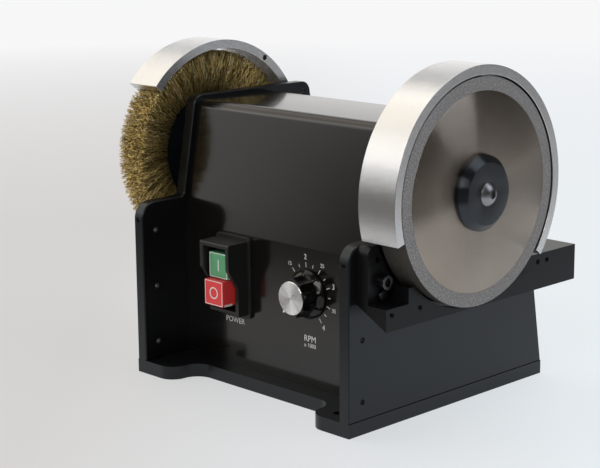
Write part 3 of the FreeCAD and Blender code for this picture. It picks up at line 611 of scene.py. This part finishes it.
class GRINDER_OT_guards(bpy.types.Operator):
    """Turned aluminium guards: part of a tube with broken edges"""
    bl_idname = "grinder.guards"
    bl_label = "Guards"

    def execute(self, context):
        finish = guard_finish()
        for node in ("left_guard", "right_guard"):
            dressed_copy(node, finish, "frame", sizes().edge_round)
        paint("guard_spacers", finish)
        return {"FINISHED"}


class GRINDER_OT_grinding_wheel(bpy.types.Operator):
    """Turned steel core and abrasive rim of the grinding wheel"""
    bl_idname = "grinder.grinding_wheel"
    bl_label = "Grinding wheel"

    def execute(self, context):
        rim = box_of("wheel_core")[1][2] - SPINDLE_Z
        self.abrasive_ring(rim)
        self.steel_core(rim)
        return {"FINISHED"}

    def abrasive_ring(self, rim):
        """Ring of rectangular section, with softer corners outside than at the core."""
        inner = 0.1 * MM
        outer = 0.5 * MM
        section = [(WHEEL_BACK, rim), (WHEEL_FACE, rim), (WHEEL_FACE, WHEEL_RADIUS),
                   (WHEEL_BACK, WHEEL_RADIUS)]
        outline = rounded_path(section, [inner, inner, outer, outer])
        piece = turned_piece("abrasive_ring", outline, grit_finish(), "spindle")
        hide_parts("abrasive_rim")

    def steel_core(self, rim):
        """Disc with a flat face, a shallow groove beside the ring, and a dish behind from rim to boss."""
        depth = WHEEL_RADIUS - rim
        edge = rim - 0.02 * MM
        groove = 0.12 * MM
        dish = 8 * MM
        boss = 30 * MM
        corner = 0.05 * MM
        section = [(WHEEL_BACK, SHAFT_RADIUS), (WHEEL_FACE, SHAFT_RADIUS),
                   (WHEEL_FACE, rim - 3 * groove), (WHEEL_FACE - groove, rim - 2 * groove),
                   (WHEEL_FACE - groove, edge), (WHEEL_BACK, edge),
                   (WHEEL_BACK, rim - depth), (WHEEL_BACK + dish, rim - depth - dish),
                   (WHEEL_BACK + dish, boss + dish), (WHEEL_BACK, boss)]
        outline = rounded_path(section, corner, 3)
        piece = turned_piece("steel_core", outline, wheel_finish(), "spindle")
        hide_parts("wheel_core")


class GRINDER_OT_hubs(bpy.types.Operator):
    """Black hub flanges and their button-head screws, and the flanges behind the wheels"""
    bl_idname = "grinder.hubs"
    bl_label = "Hubs"

    def execute(self, context):
        black = black_metal_finish()
        screw_metal = metal_finish("screw_steel", (0.29, 0.295, 0.31, 1), 0.26)
        outline = self.disc_outline()
        for side, mirror in (("right", False), ("left", True)):
            piece = turned_piece(side + "_hub_disc", outline, black, "spindle", mirror)
            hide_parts(side + "_hub_flange")
            self.button_screw(side, mirror, screw_metal)
            paint(side + "_back_flange", black)
        return {"FINISHED"}

    def disc_outline(self):
        """Section of a hub disc: shaft bore, screw hole, flat face and a chamfer to a short edge."""
        low, high = box_of("right_hub_flange")
        back = low[0]
        front = high[0]
        radius = (high - low)[2] / 2
        seat = WHEEL_FACE + 2.1 * MM
        hole = 4.1 * MM
        face_radius = 20.5 * MM
        edge = 2.5 * MM
        section = [(back, SHAFT_RADIUS), (seat, SHAFT_RADIUS), (seat, hole), (front, hole),
                   (front, face_radius), (back + edge, radius), (back, radius)]
        rounds = np.array([0.1, 0.1, 0.1, 0.3, 0.22, 0.22, 0.2]) * MM
        return rounded_path(section, rounds, 4)

    def button_screw(self, side, mirror, metal):
        """Dome as part of a sphere, a short rim below it, and a six-sided socket in its top."""
        low, high = box_of("right_hub_screw")
        foot = low[0]
        top = high[0]
        seat = box_of("right_hub_flange")[1][0]
        head = (high - low)[2] / 2
        rise = top - seat
        rim = 0.1 * MM
        shank = 3.9 * MM
        socket = 2.9 * MM
        socket_floor = top - 2.4 * MM
        floor_share = 0.86
        flat_share = 0.92
        steps = 48
        ball = (head ** 2 + rise ** 2) / (2 * rise)
        turn = np.linspace(math.asin(socket / ball), math.asin(head / ball), 9)
        dome = np.stack([top - ball + ball * np.cos(turn), ball * np.sin(turn)], 1)
        profile = np.vstack([[(socket_floor, POLE), (socket_floor, socket * floor_share)], dome,
                             [(seat, head - rim), (seat, shank), (foot, shank), (foot, POLE)]])
        points = turned_points(profile, steps, mirror)
        six = 1.0 / np.cos((full_turn(steps) + math.pi / 6) % (math.pi / 3) - math.pi / 6)
        for column in (1, 2):
            radial = points[:, column, 1:] - SPINDLE_SPOT[1:]
            points[:, column, 1:] = SPINDLE_SPOT[1:] + radial * (six * flat_share)[:, None]
        faces = grid_faces(steps, len(profile), True, False)
        piece = new_piece(side + "_button_screw", points.reshape(-1, 3), faces, metal, "spindle",
                          CRISP_ANGLE)
        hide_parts(side + "_hub_screw")


class GRINDER_OT_wire_wheel(bpy.types.Operator):
    """Crimped wires of the wire wheel and the black discs that clamp them"""
    bl_idname = "grinder.wire_wheel"
    bl_label = "Wire wheel"

    def execute(self, context):
        finish = brass_finish()
        bundles = [self.bundle(index, finish) for index in range(sizes().wire_bundles)]
        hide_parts("wire_bristles")
        dressed_copy("wire_wheel_hub", black_metal_finish(), "spindle", sizes().edge_round)
        return {"FINISHED"}

    def bundle(self, index, finish):
        """One piece of wires: a three-sided tube round each line, with its own tone and painted shade at
        the root.
        """
        first_seed = 41
        steps = 13
        sides = 3
        draw = np.random.default_rng(first_seed + index)
        along = np.linspace(0, 1, steps)[None, :]
        turn, line = self.wire_lines(draw, along)
        count = len(line)
        ring = full_turn(sides)
        across = np.stack([np.zeros_like(turn), -np.sin(turn), np.cos(turn)], -1)
        level = np.broadcast_to(np.array([1.0, 0, 0]), line.shape)
        spokes = across[:, :, None] * np.cos(ring)[:, None] + level[:, :, None] * np.sin(ring)[:, None]
        points = line[:, :, None] + sizes().wire_radius * spokes
        first = (np.arange(count) * steps * sides)[:, None, None]
        last = (steps - 1) * sides
        quads = (grid_faces(steps, sides, False, True) + first).reshape(-1, 4)
        ends = (np.array([[2, 1, 0], [last, last + 1, last + 2]]) + first).reshape(-1, 3)
        mesh = self.tube_mesh(f"brass_wires_{index + 1}", points.reshape(-1, 3), quads, ends)
        tone = np.clip(draw.beta(1.6, 1.7, (count, 1)) + draw.normal(0, 0.14, (count, steps)), 0, 1)
        self.point_values(mesh, "tone", np.repeat(tone.ravel(), sides))
        # Painted shade: the depth value rises from dark at the root to full part of the way out.
        depth = np.broadcast_to(np.clip(0.1 + along * 1.6, 0, 1)[:, :, None], (count, steps, sides))
        self.point_values(mesh, "depth", depth.ravel())
        mesh.validate()
        mesh.shade_smooth()
        return add_piece(mesh.name, mesh, finish, "spindle")

    def wire_lines(self, draw, along):
        """Lines from the root ring to the tip ring; each swings sideways as a sine and bows as a square.

        Gives the angle round the spindle and the place of each point, as wires by steps.
        """
        count = sizes().wire_count
        low, high = box_of("wire_bristles")
        hub_low, hub_high = box_of("wire_wheel_hub")
        middle = (low[0] + high[0]) / 2
        half_width = (high[0] - low[0]) / 2
        tuck = 4 * MM
        tip_gap = 0.5 * MM
        root = (hub_high - hub_low)[2] / 2 - tuck
        tip = (high - low)[2] / 2 - tip_gap
        bow_spread = 4.4 * MM
        shortfall = 2.6 * MM
        root_fan = 0.45
        fan_gap = 1.0 * MM
        side_gap = 0.4 * MM
        angle = draw.uniform(0, 2 * math.pi, (count, 1))
        spread = draw.uniform(-1, 1, (count, 1)) * (half_width - fan_gap)
        bow = draw.normal(0, bow_spread, (2, count, 1)) * along ** 2
        reach = tip - np.abs(draw.normal(0, shortfall, (count, 1)))
        swing = sizes().crimp_height * draw.uniform(0.6, 1.4, (count, 1))
        phase = draw.uniform(0, 2 * math.pi, (count, 1))
        side = draw.uniform(0, 2 * math.pi, (count, 1))
        waves = draw.uniform(3.4, 5.4, (count, 1))
        radius = root + (reach - root) * along
        wave = swing * np.sin(phase + waves * 2 * math.pi * along) * np.clip(along * 3, 0, 1)
        turn = angle + (bow[0] + wave * np.sin(side)) / radius
        fan = root_fan + (1 - root_fan) * along ** 0.3
        edge = half_width - side_gap
        x = np.clip(middle + spread * fan + bow[1] + wave * np.cos(side), middle - edge, middle + edge)
        line = np.stack([x, SPINDLE_Y + radius * np.cos(turn), SPINDLE_Z + radius * np.sin(turn)], -1)
        return turn, line

    def tube_mesh(self, name, verts, quads, ends):
        """Mesh of many tubes from their points, side quads and end triangles."""
        mesh = bpy.data.meshes.new(name)
        mesh.vertices.add(len(verts))
        mesh.vertices.foreach_set("co", verts.ravel())
        loops = np.concatenate([quads.ravel(), ends.ravel()])
        starts = np.concatenate([np.arange(len(quads)) * 4, quads.size + np.arange(len(ends)) * 3])
        mesh.loops.add(len(loops))
        mesh.loops.foreach_set("vertex_index", loops.astype(np.int32))
        mesh.polygons.add(len(starts))
        mesh.polygons.foreach_set("loop_start", starts.astype(np.int32))
        mesh.update(calc_edges=True)
        return mesh

    def point_values(self, mesh, name, values):
        """A number at each point of a mesh, for the finish to read."""
        attribute = mesh.attributes.new(name, "FLOAT", "POINT")
        attribute.data.foreach_set("value", values.astype(np.float32))


def flat_strip(name, outer, inner, material, body, y):
    """Closed flat band in the XZ plane between two outlines, a hair thick towards the front."""
    ring = np.stack([np.asarray(inner), np.asarray(outer)], 1)
    front = np.stack([ring[..., 0], np.full(ring.shape[:2], y - INK_FILM), ring[..., 1]], -1)
    back = front.copy()
    back[..., 1] = y
    loop = np.concatenate([front, back[:, ::-1]], 1)
    faces = grid_faces(len(ring), 4, True, True)
    return new_piece(name, loop.reshape(-1, 3), faces, material, body, CRISP_ANGLE)


def rounded_rect(x, z, width, height, radius, steps=4):
    """Outline of a rounded rectangle."""
    w = width / 2
    h = height / 2
    return rounded_path([(x - w, z - h), (x + w, z - h), (x + w, z + h), (x - w, z + h)], radius, steps)


def bar_mark(name, x, z, length, width, angle, material, y, body="frame"):
    """Small printed bar whose length lies at an angle from straight up, clockwise."""
    along = np.array([math.sin(angle), math.cos(angle)]) * length
    side = np.array([math.cos(angle), -math.sin(angle)]) * width
    corners = np.array([(-0.5, -0.5), (0.5, -0.5), (0.5, 0.5), (-0.5, 0.5)])
    outline = (x, z) + along * corners[:, 1:] + side * corners[:, :1]
    front = np.column_stack([outline[:, 0], np.full(4, y - INK_FILM), outline[:, 1]])
    back = front.copy()
    back[:, 1] = y + INK_ROOT
    faces = [(i, (i + 1) % 4, 4 + (i + 1) % 4, 4 + i) for i in range(4)]
    ends = ((0, 1, 2, 3), (7, 6, 5, 4))
    return new_piece(name, np.vstack([front, back]), faces, material, body, CRISP_ANGLE, ends)


def printed_words(name, words, x, z, height, material):
    """Words printed on the panel, centred on a spot, as a thin mesh."""
    curve = bpy.data.curves.new(name, "FONT")
    curve.body = words
    curve.align_x = "CENTER"
    curve.align_y = "CENTER"
    curve.size = height
    curve.extrude = LETTER_FILM
    curve.resolution_u = 4
    writer = bpy.data.objects.new(name + "_type", curve)
    bpy.context.scene.collection.objects.link(writer)
    bpy.context.view_layer.update()
    mesh = bpy.data.meshes.new_from_object(writer.evaluated_get(bpy.context.evaluated_depsgraph_get()))
    bpy.data.objects.remove(writer)
    mesh.name = name
    upright = Matrix.Rotation(math.radians(90), 4, "X")
    mesh.transform(Matrix.Translation((x, PANEL_Y - LETTER_FILM, z)) @ upright)
    return add_piece(name, mesh, material, "frame")


class GRINDER_OT_switch(bpy.types.Operator):
    """Switch shroud, faceplate and its two push buttons with their printed signs"""
    bl_idname = "grinder.switch"
    bl_label = "Switch"

    def execute(self, context):
        black = plastic_finish("switch_black", tuple(colours().plastic), 0.36)
        for node in ("switch_shroud", "switch_faceplate"):
            dressed_copy(node, black, "frame", sizes().moulded_round, 3)
        paint("switch_body", black)
        ink = ink_finish()
        for node, tint in (("start_button", colours().green), ("stop_button", colours().red)):
            moulded = plastic_finish(node + "_plastic", tuple(tint), 0.30, 0.04)
            dressed_copy(node, moulded, node, sizes().moulded_round * 0.6, 3)
            self.sign(node, ink)
        self.base_layers()
        return {"FINISHED"}

    def base_layers(self):
        """Cream base layer of each button, a box that shows as a strip low on the button's right side."""
        cream = plastic_finish("cream_plastic", (0.74, 0.70, 0.62, 1), 0.35)
        nearest = np.array([-0.2, 1.5, 0.1]) * MM
        furthest = np.array([0.05, 9.0, 1.6]) * MM
        pick = np.array([(i, j, k) for i in (0, 1) for j in (0, 1) for k in (0, 1)])
        faces = [(0, 1, 3, 2), (4, 6, 7, 5), (0, 4, 5, 1), (2, 3, 7, 6), (0, 2, 6, 4), (1, 5, 7, 3)]
        for node, slot in BUTTON_SLOTS.items():
            low, high = box_of(node)
            corner = np.array([high[0], low[1], low[2]])
            verts = (corner + nearest) * (1 - pick) + (corner + furthest) * pick
            new_piece(node + "_base_layer", verts, faces, cream, node, CRISP_ANGLE)

    def sign(self, node, ink):
        """White border on the button's face, with an upright bar or a ring inside it."""
        low, high = box_of(node)
        x, _, z = (low + high) / 2
        y = low[1]
        margin = 0.9 * MM
        border = 2 * 0.55 * MM
        bar_length = 8.2 * MM
        bar_width = 1.0 * MM
        ring_outer = 4.3 * MM
        ring_inner = 3.4 * MM
        width = high[0] - low[0] - margin
        height = high[2] - low[2] - margin
        outer = rounded_rect(x, z, width, height, 0.5 * MM)
        inner = rounded_rect(x, z, width - border, height - border, 0.3 * MM)
        flat_strip(node + "_border", outer, inner, ink, node, y)
        if node == "start_button":
            bar_mark("start_bar", x, z, bar_length, bar_width, 0, ink, y, node)
        else:
            turn = full_turn(40)
            ring = np.stack([np.cos(turn), np.sin(turn)], 1)
            outer = (x, z) + ring_outer * ring
            inner = (x, z) + ring_inner * ring
            flat_strip("stop_ring", outer, inner, ink, node, y)


class GRINDER_OT_knob(bpy.types.Operator):
    """Fluted speed knob with its spun metal cap and white pointer"""
    bl_idname = "grinder.knob"
    bl_label = "Knob"

    def execute(self, context):
        turn = full_turn(216)
        self.grip(turn)
        self.cap_disc(turn)
        self.pointer()
        paint("knob_shaft", metal_finish("control_shaft", (0.6, 0.6, 0.6, 1)))
        return {"FINISHED"}

    def rings(self, turn, y, radius):
        """Rings about the knob's line: x and z are the radius times sine and cosine of the turn."""
        radius = np.broadcast_to(radius, (len(turn), len(y)))
        x = KNOB_X + radius * np.sin(turn)[:, None]
        z = KNOB_Z + radius * np.cos(turn)[:, None]
        return np.stack([x, np.broadcast_to(y, radius.shape), z], -1)

    def grip(self, turn):
        """Flared skirt and tapered grip; above the skirt each flute takes a parabola off the radius."""
        black = plastic_finish("knob_black", (0.004, 0.004, 0.004, 1), 0.09, 0.02, 0.36)
        low, high = box_of("knob_body")
        front = low[1]
        foot = high[1]
        tall = foot - front
        skirt = (high - low)[0] / 2
        top = 13.6 * MM
        flutes = 9
        flute_depth = 1.9 * MM
        flute_start = 2.6 * MM
        flute_fade = 1.8 * MM
        nut_bore = 8 * MM
        nut_seat = foot - 4 * MM
        cap_bore = 11.62 * MM
        cap_seat = front + 1.2 * MM
        skirt_rows = np.array([(0.0, -0.3), (0.35, 0.0), (1.1, 0.0), (1.9, -0.7)]) * MM + (0, skirt)
        grip_rows = np.array([(3.1, 2.0), (4.2, 1.1), (6.0, 0.8), (9.0, 0.5), (12.5, 0.2), (15.0, 0.0)])
        end_rows = [(tall - 0.2 * MM, top - 0.25 * MM), (tall, top - 0.8 * MM)]
        rise, radius = np.vstack([skirt_rows, grip_rows * MM + (0, top), end_rows]).T
        fade = np.clip((rise - flute_start) / flute_fade, 0, 1)
        across = 2 * ((turn * flutes / (2 * math.pi)) % 1.0) - 1
        scallop = flute_depth * (1 - across ** 2)
        fluted = radius[None, :] - scallop[:, None] * fade[None, :]
        under = np.transpose([(nut_seat, POLE), (nut_seat, nut_bore), (foot, nut_bore)])
        recess = np.transpose([(front, cap_bore), (cap_seat, cap_bore), (cap_seat, POLE)])
        points = np.concatenate([self.rings(turn, *under), self.rings(turn, foot - rise, fluted),
                                 self.rings(turn, *recess)], 1)
        piece = self.round_piece("fluted_knob", points, black, "knob_plastic", 38)
        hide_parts("knob_body")

    def cap_disc(self, turn):
        """Disc with a broken edge and a shallow dish."""
        low, high = box_of("knob_cap")
        front = low[1]
        back = high[1]
        radius = (high - low)[0] / 2
        edge = 0.4 * MM
        dish = 0.15 * MM
        rows = np.transpose([(back, POLE), (back, radius), (front + edge, radius), (front, radius - edge),
                             (front + dish / 3, radius - 3 * edge), (front + dish * 0.8, radius / 2),
                             (front + dish, POLE)])
        piece = self.round_piece("spun_cap", self.rings(turn, *rows), spun_finish(), "knob_metal",
                                 CRISP_ANGLE)
        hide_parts("knob_cap")

    def round_piece(self, name, points, material, slot, smooth_angle):
        """Piece of the knob from its rings of points."""
        faces = grid_faces(*points.shape[:2], True, False)
        return new_piece(name, points.reshape(-1, 3), faces, material, "knob", smooth_angle)

    def pointer(self):
        """White line on the grip's front edge, at the lowest speed."""
        angle = math.radians(-145)
        reach = 12.6 * MM
        long = 1.7 * MM
        wide = 1.3 * MM
        x, z = on_dial(reach, angle)
        front = box_of("knob_body")[0][1]
        bar_mark("knob_pointer", x, z, long, wide, angle, ink_finish(), front, "knob")


def on_dial(reach, angle):
    """Spot at a distance from the knob's line, at an angle from straight up, clockwise."""
    return KNOB_X + reach * math.sin(angle), KNOB_Z + reach * math.cos(angle)


class GRINDER_OT_markings(bpy.types.Operator):
    """Dial marks, dial numbers and the plain words by the controls"""
    bl_idname = "grinder.markings"
    bl_label = "Markings"

    def execute(self, context):
        ink = ink_finish()
        self.dial(ink)
        speed_x = KNOB_X + 1.6 * MM
        power_x = middle_of("switch_faceplate")[0] - 0.6 * MM
        labels = (("speed_words", "RPM", speed_x, 43.4, 6.2),
                  ("speed_factor", "x 1000", speed_x, 38.7, 4.1),
                  ("power_word", "POWER", power_x, 42.6, 5.7))
        for name, words, x, z, height in labels:
            printed_words(name, words, x, z * MM, height * MM, ink)
        return {"FINISHED"}

    def dial(self, ink):
        """Numbers at equal angles, with a long mark at each and a short one between."""
        numbers = ("15", "2", "25", "3", "35", "4")
        first = -43.0
        step = 37.6
        number_reach = 25.7 * MM
        mark_reach = 20.3 * MM
        mark_width = 0.45 * MM
        for i, words in enumerate(numbers):
            x, z = on_dial(number_reach, math.radians(first + i * step))
            height = (5.2 if len(words) == 1 else 3.9) * MM
            printed_words(f"dial_number_{words}", words, x, z, height, ink)
        for i in range(2 * len(numbers) - 1):
            angle = math.radians(first + i * step / 2)
            x, z = on_dial(mark_reach, angle)
            long = 3.4 * MM if i % 2 == 0 else 2.2 * MM
            bar_mark(f"dial_mark_{i + 1}", x, z, long, mark_width, angle, ink, PANEL_Y)


class GRINDER_OT_fasteners(bpy.types.Operator):
    """Screws of the bar and of the guards, and bare threads in the drilled holes"""
    bl_idname = "grinder.fasteners"
    bl_label = "Fasteners"

    def execute(self, context):
        black = black_metal_finish()
        dark = metal_finish("dark_screw", (0.10, 0.10, 0.105, 1), 0.24)
        dressed_copy("bar_screws", dark, "frame", sizes().edge_round)
        self.hole_liners()
        paint("guard_screws", black)
        return {"FINISHED"}

    def hole_liners(self):
        """Bare threads a little inside each drilled hole: short tubes about lines along X or Y."""
        thread = metal_finish("bare_thread", (0.30, 0.30, 0.31, 1), 0.35)
        parts = self.plate_threads() + self.bar_threads()
        verts = np.concatenate([points for points, _ in parts])
        starts = np.cumsum([0] + [len(points) for points, _ in parts[:-1]])
        faces = np.concatenate([quads + start for (_, quads), start in zip(parts, starts)])
        new_piece("thread_liners", verts, faces, thread, "frame")

    def plate_threads(self):
        """On each side plate: a row of three, one in the lobe and one in the front edge."""
        low, high = box_of("right_side_plate")
        thick = high[0] - low[0]
        row_radius = 2.06 * MM
        row_y = low[1] + 12.4 * MM
        row_inset = 0.9 * MM
        lobe_radius = 2.55 * MM
        lobe_y = 61.72 * MM
        lobe_z = 190.4 * MM
        lobe_inset = 0.5 * MM
        edge_radius = 1.66 * MM
        edge_y = low[1] + 0.9 * MM
        edge_z = 113 * MM
        edge_way = (0, 8 * MM, 0)
        parts = []
        for sign in (-1, 1):
            row_x = sign * (low[0] + row_inset)
            row_way = (sign * (thick - 2 * row_inset), 0, 0)
            for i in range(3):
                row_z = (22.0 + i * 41.5) * MM
                parts.append(self.tube(row_radius, (row_x, row_y, row_z), row_way))
            lobe_x = sign * (low[0] + lobe_inset)
            lobe_way = (sign * (thick - 2 * lobe_inset), 0, 0)
            parts.append(self.tube(lobe_radius, (lobe_x, lobe_y, lobe_z), lobe_way))
            edge_x = sign * (low[0] + high[0]) / 2
            parts.append(self.tube(edge_radius, (edge_x, edge_y, edge_z), edge_way))
        return parts

    def bar_threads(self):
        """On the bar's outer face: two near the front and two near the rear."""
        radius = 1.86 * MM
        way = (-6 * MM, 0, 0)
        x = box_of("accessory_bar")[1][0] - 0.8 * MM
        spots = np.array([(-87.3, 84.4), (-60.6, 84.4), (61.0, 93.3), (71.0, 93.3)]) * MM
        return [self.tube(radius, (x, y, z), way) for y, z in spots]

    def tube(self, radius, start, way):
        """Tube wall of two rings, a thread's depth thick, between a start and start plus way."""
        thread = 0.3 * MM
        turn = full_turn(20)
        start = np.array(start)
        way = np.array(way)
        level = np.array([0, 1, 0]) if way[0] else np.array([1, 0, 0])
        spokes = np.cos(turn)[:, None] * level + np.sin(turn)[:, None] * np.array([0, 0, 1])
        inner = radius - thread
        points = np.stack([spokes * r + start + way * t
                           for r, t in ((radius, 0), (radius, 1), (inner, 1), (inner, 0))], 1)
        return points.reshape(-1, 3), grid_faces(len(turn), 4, True, True)


class GRINDER_OT_inside(bpy.types.Operator):
    """Motor, controller, inlet and the other pieces inside the body"""
    bl_idname = "grinder.inside"
    bl_label = "Inside"

    def execute(self, context):
        steel = metal_finish("plain_steel", (0.42, 0.42, 0.42, 1), 0.34)
        bright = metal_finish("ground_steel", (0.66, 0.66, 0.66, 1), 0.18)
        copper = metal_finish("bare_copper", (0.72, 0.34, 0.18, 1), 0.28)
        dark = plastic_finish("dark_plastic", tuple(colours().plastic), 0.42)
        board = plastic_finish("board_green", (0.02, 0.14, 0.06, 1), 0.35)
        blue = plastic_finish("sleeve_blue", (0.02, 0.03, 0.12, 1), 0.3)
        finishes = [(steel, ("motor_can", "left_end_bell", "right_end_bell", "motor_cradle",
                             "spindle_shaft", "armature_core", "potentiometer", "board_standoffs",
                             "heat_sink")),
                    (bright, ("bearing_outer_rings", "bearing_inner_rings")),
                    (copper, ("armature_windings", "commutator")),
                    (dark, ("bearing_seals", "field_magnets", "carbon_brushes", "brush_holders")),
                    (board, ("controller_board",)), (blue, ("capacitors",))]
        for finish, nodes in finishes:
            for node in nodes:
                paint(node, finish)
        dressed_copy("power_inlet", dark, "frame", sizes().moulded_round / 2)
        return {"FINISHED"}


# Name, place, width in metres, power in watts and colour of each lamp.
LAMPS = (("key_light", (-1.75, -0.55, 1.75), 2.4, 22.0, (1.0, 0.93, 0.82)),
         ("front_light", (1.0, -2.1, 1.5), 1.2, 22.0, (1.0, 0.97, 0.93)),
         ("side_light", (1.8, 1.0, 1.6), 1.5, 12.0, (0.86, 0.92, 1.0)),
         ("top_light", (0.1, 0.2, 2.2), 2.0, 12.0, (1.0, 0.97, 0.92)))
# Direction of each bright part of the room, the cosines at which it starts and is full, and its level.
LOBES = (((-0.68, 0.70, 0.12), 0.72, 0.95, 1.0),
         ((-0.86, -0.50, 0.10), 0.943, 0.985, 1.0),
         ((-0.55, -0.70, 0.45), 0.93, 0.985, 1.0),
         ((-0.10, 0.10, 1.0), 0.80, 1.0, 0.5))
LAMP_AIM = (0, 0, 0.12)


class GRINDER_OT_stage(bpy.types.Operator):
    """Pale floor, soft light and the camera"""
    bl_idname = "grinder.stage"
    bl_label = "Stage"

    def execute(self, context):
        self.floor()
        self.room()
        self.lights()
        self.camera()
        context.scene.view_settings.view_transform = "Standard"
        return {"FINISHED"}

    def floor(self):
        """Large flat sheet just under the base."""
        reach = 9.0
        height = -0.2 * MM
        corners = ((-reach, -reach), (reach, -reach), (reach, reach), (-reach, reach))
        mesh = bpy.data.meshes.new("floor_sheet")
        mesh.from_pydata([(x, y, height) for x, y in corners], [], [(0, 1, 2, 3)])
        mesh.materials.append(self.paper())
        sheet = bpy.data.objects.new("floor_sheet", mesh)
        bpy.context.scene.collection.objects.link(sheet)

    def paper(self):
        """Floor that glows a little when seen straight, with painted shade near the left and painted cool
        light near the right; mirrored, it ends in a dim room like a table.
        """
        finish = Finish("floor_paper", Roughness=0.9,
                        Base_Color=tuple(bpy.context.scene.grinder_stage.floor))
        # Glow tones: painted shade near the left, painted cool light near the right, an even pale tone
        # further off.
        shaded_near_left = (0.645, 0.635, 0.63, 1)
        cool_lit_near_right = (0.88, 0.94, 0.985, 1)
        distant = (0.955, 0.955, 0.965, 1)
        dim_room = (0.16, 0.15, 0.14, 1)
        seen = finish.node("ShaderNodeLightPath")
        straight = Shade(finish, seen.outputs["Is Camera Ray"])
        mirrored = Shade(finish, seen.outputs["Is Glossy Ray"])
        x, y, _ = finish.axes(finish.place())
        distance = (x * x + y * y) ** 0.5
        far = ((distance - 0.6) / 1.9).clamped()
        right = ((x * 0.70 + y * 0.71 + 0.2) / 0.35).clamped()
        tone = finish.mix(far, finish.mix(right, shaded_near_left, cool_lit_near_right), distant)
        share = straight * (0.72 + far * 0.24) + mirrored * 0.6
        paper = self.glow_over(finish, share, finish.shader.outputs[0], tone)
        # How far a mirrored spot lies past the table's edges, in metres from the middle of the base.
        past_edge = ((distance - 1.6) * 1.1).clamped()
        past_front = (-0.20 - y) * 6.0
        past_right = (x - y * 0.4 - 0.44) * 5.0
        past_corner = (x + y - 0.75) * 3.0
        for past, most in ((past_front, 1.0), (past_right, 1.0), (past_corner, 0.5)):
            past_edge = past.math("MAXIMUM", past_edge, past.clamped() * most)
        table = self.glow_over(finish, past_edge * mirrored, paper, dim_room)
        finish.feed(finish.tree.nodes["Material Output"].inputs[0], table)
        return finish.material

    def glow_over(self, finish, share, under, tone):
        """A share of plain glow laid over another shader."""
        glow = finish.node("ShaderNodeEmission", {}, {"Color": tone, "Strength": 1.0})
        laid = finish.node("ShaderNodeMixShader", {}, {0: share, 1: under, 2: glow.outputs[0]})
        return laid.outputs[0]

    def room(self):
        """World brightness by direction: soft lobes over a dim level, or one pale tone seen straight."""
        world = bpy.data.worlds.new("pale_room")
        bpy.context.scene.world = world
        room = Nodes(world)
        way = room.node("ShaderNodeTexCoord").outputs["Generated"]
        level = 0.06
        seen_level = 0.95
        for aim, start, end, bright in LOBES:
            near = room.node("ShaderNodeVectorMath", {"operation": "DOT_PRODUCT"},
                             {0: way, 1: Vector(aim).normalized()})
            lobe = room.node("ShaderNodeMapRange", {"interpolation_type": "SMOOTHSTEP"},
                             {0: near.outputs["Value"], 1: start, 2: end, 3: 0.0, 4: bright})
            level = Shade(room, lobe.outputs[0]) + level
        straight = Shade(room, room.node("ShaderNodeLightPath").outputs["Is Camera Ray"])
        level = level * (1 - straight) + straight * seen_level
        background = room.tree.nodes["Background"]
        room.feed(background.inputs["Color"], (1.0, 0.985, 0.965, 1))
        room.feed(background.inputs["Strength"], level)

    def lights(self):
        """Soft square lamps that face the object."""
        for name, place, width, power, colour in LAMPS:
            lamp = bpy.data.lights.new(name, "AREA")
            lamp.size = width
            lamp.energy = power
            lamp.color = colour
            lit = bpy.data.objects.new(name, lamp)
            lit.location = place
            aim = Vector(LAMP_AIM) - Vector(place)
            lit.rotation_euler = aim.to_track_quat("-Z", "Y").to_euler()
            bpy.context.scene.collection.objects.link(lit)

    def camera(self):
        """Camera from its place, yaw, pitch and roll."""
        stage = bpy.context.scene.grinder_stage
        yaw, pitch, roll = stage.camera_yaw, stage.camera_pitch, stage.camera_roll
        ahead = Vector((-math.sin(yaw) * math.cos(pitch), math.cos(yaw) * math.cos(pitch),
                        -math.sin(pitch)))
        level = ahead.cross(Vector((0, 0, 1))).normalized()
        rise = level.cross(ahead)
        right = level * math.cos(roll) + rise * math.sin(roll)
        up = rise * math.cos(roll) - level * math.sin(roll)
        lens = bpy.data.cameras.new("view")
        lens.sensor_fit = "HORIZONTAL"
        lens.sensor_width = 36.0
        lens.lens = stage.focal * lens.sensor_width
        lens.clip_end = 50
        camera = bpy.data.objects.new("view", lens)
        turned = Matrix((right, up, -ahead)).transposed().to_4x4()
        camera.matrix_world = Matrix.Translation(Vector(stage.camera_place)) @ turned
        bpy.context.scene.collection.objects.link(camera)
        bpy.context.scene.camera = camera


OPERATORS = (GRINDER_OT_plates, GRINDER_OT_cover, GRINDER_OT_guards, GRINDER_OT_grinding_wheel,
             GRINDER_OT_hubs, GRINDER_OT_wire_wheel, GRINDER_OT_switch, GRINDER_OT_knob,
             GRINDER_OT_markings, GRINDER_OT_fasteners, GRINDER_OT_inside, GRINDER_OT_stage)
GROUPS = (GrinderSizes, GrinderColours, GrinderStage)


class GRINDER_PT_dressing(bpy.types.Panel):
    """Lists the pieces and the sizes"""
    bl_idname = "GRINDER_PT_dressing"
    bl_label = "Bench grinder"
    bl_space_type = "VIEW_3D"
    bl_region_type = "UI"
    bl_category = "Grinder"

    def draw(self, context):
        scene = context.scene
        for group in (scene.grinder_sizes, scene.grinder_colours, scene.grinder_stage):
            for key in group.__annotations__:
                self.layout.prop(group, key)
        for operator in OPERATORS:
            self.layout.operator(operator.bl_idname)


def register():
    for kind in GROUPS + OPERATORS + (GRINDER_PT_dressing,):
        bpy.utils.register_class(kind)
    bpy.types.Scene.grinder_sizes = PointerProperty(type=GrinderSizes)
    bpy.types.Scene.grinder_colours = PointerProperty(type=GrinderColours)
    bpy.types.Scene.grinder_stage = PointerProperty(type=GrinderStage)


def unregister():
    del bpy.types.Scene.grinder_stage
    del bpy.types.Scene.grinder_colours
    del bpy.types.Scene.grinder_sizes
    for kind in reversed(GROUPS + OPERATORS + (GRINDER_PT_dressing,)):
        bpy.utils.unregister_class(kind)


def main():
    register()
    for operator in OPERATORS:
        group, name = operator.bl_idname.split(".")
        getattr(getattr(bpy.ops, group), name)()


if __name__ == "__main__":
    main()
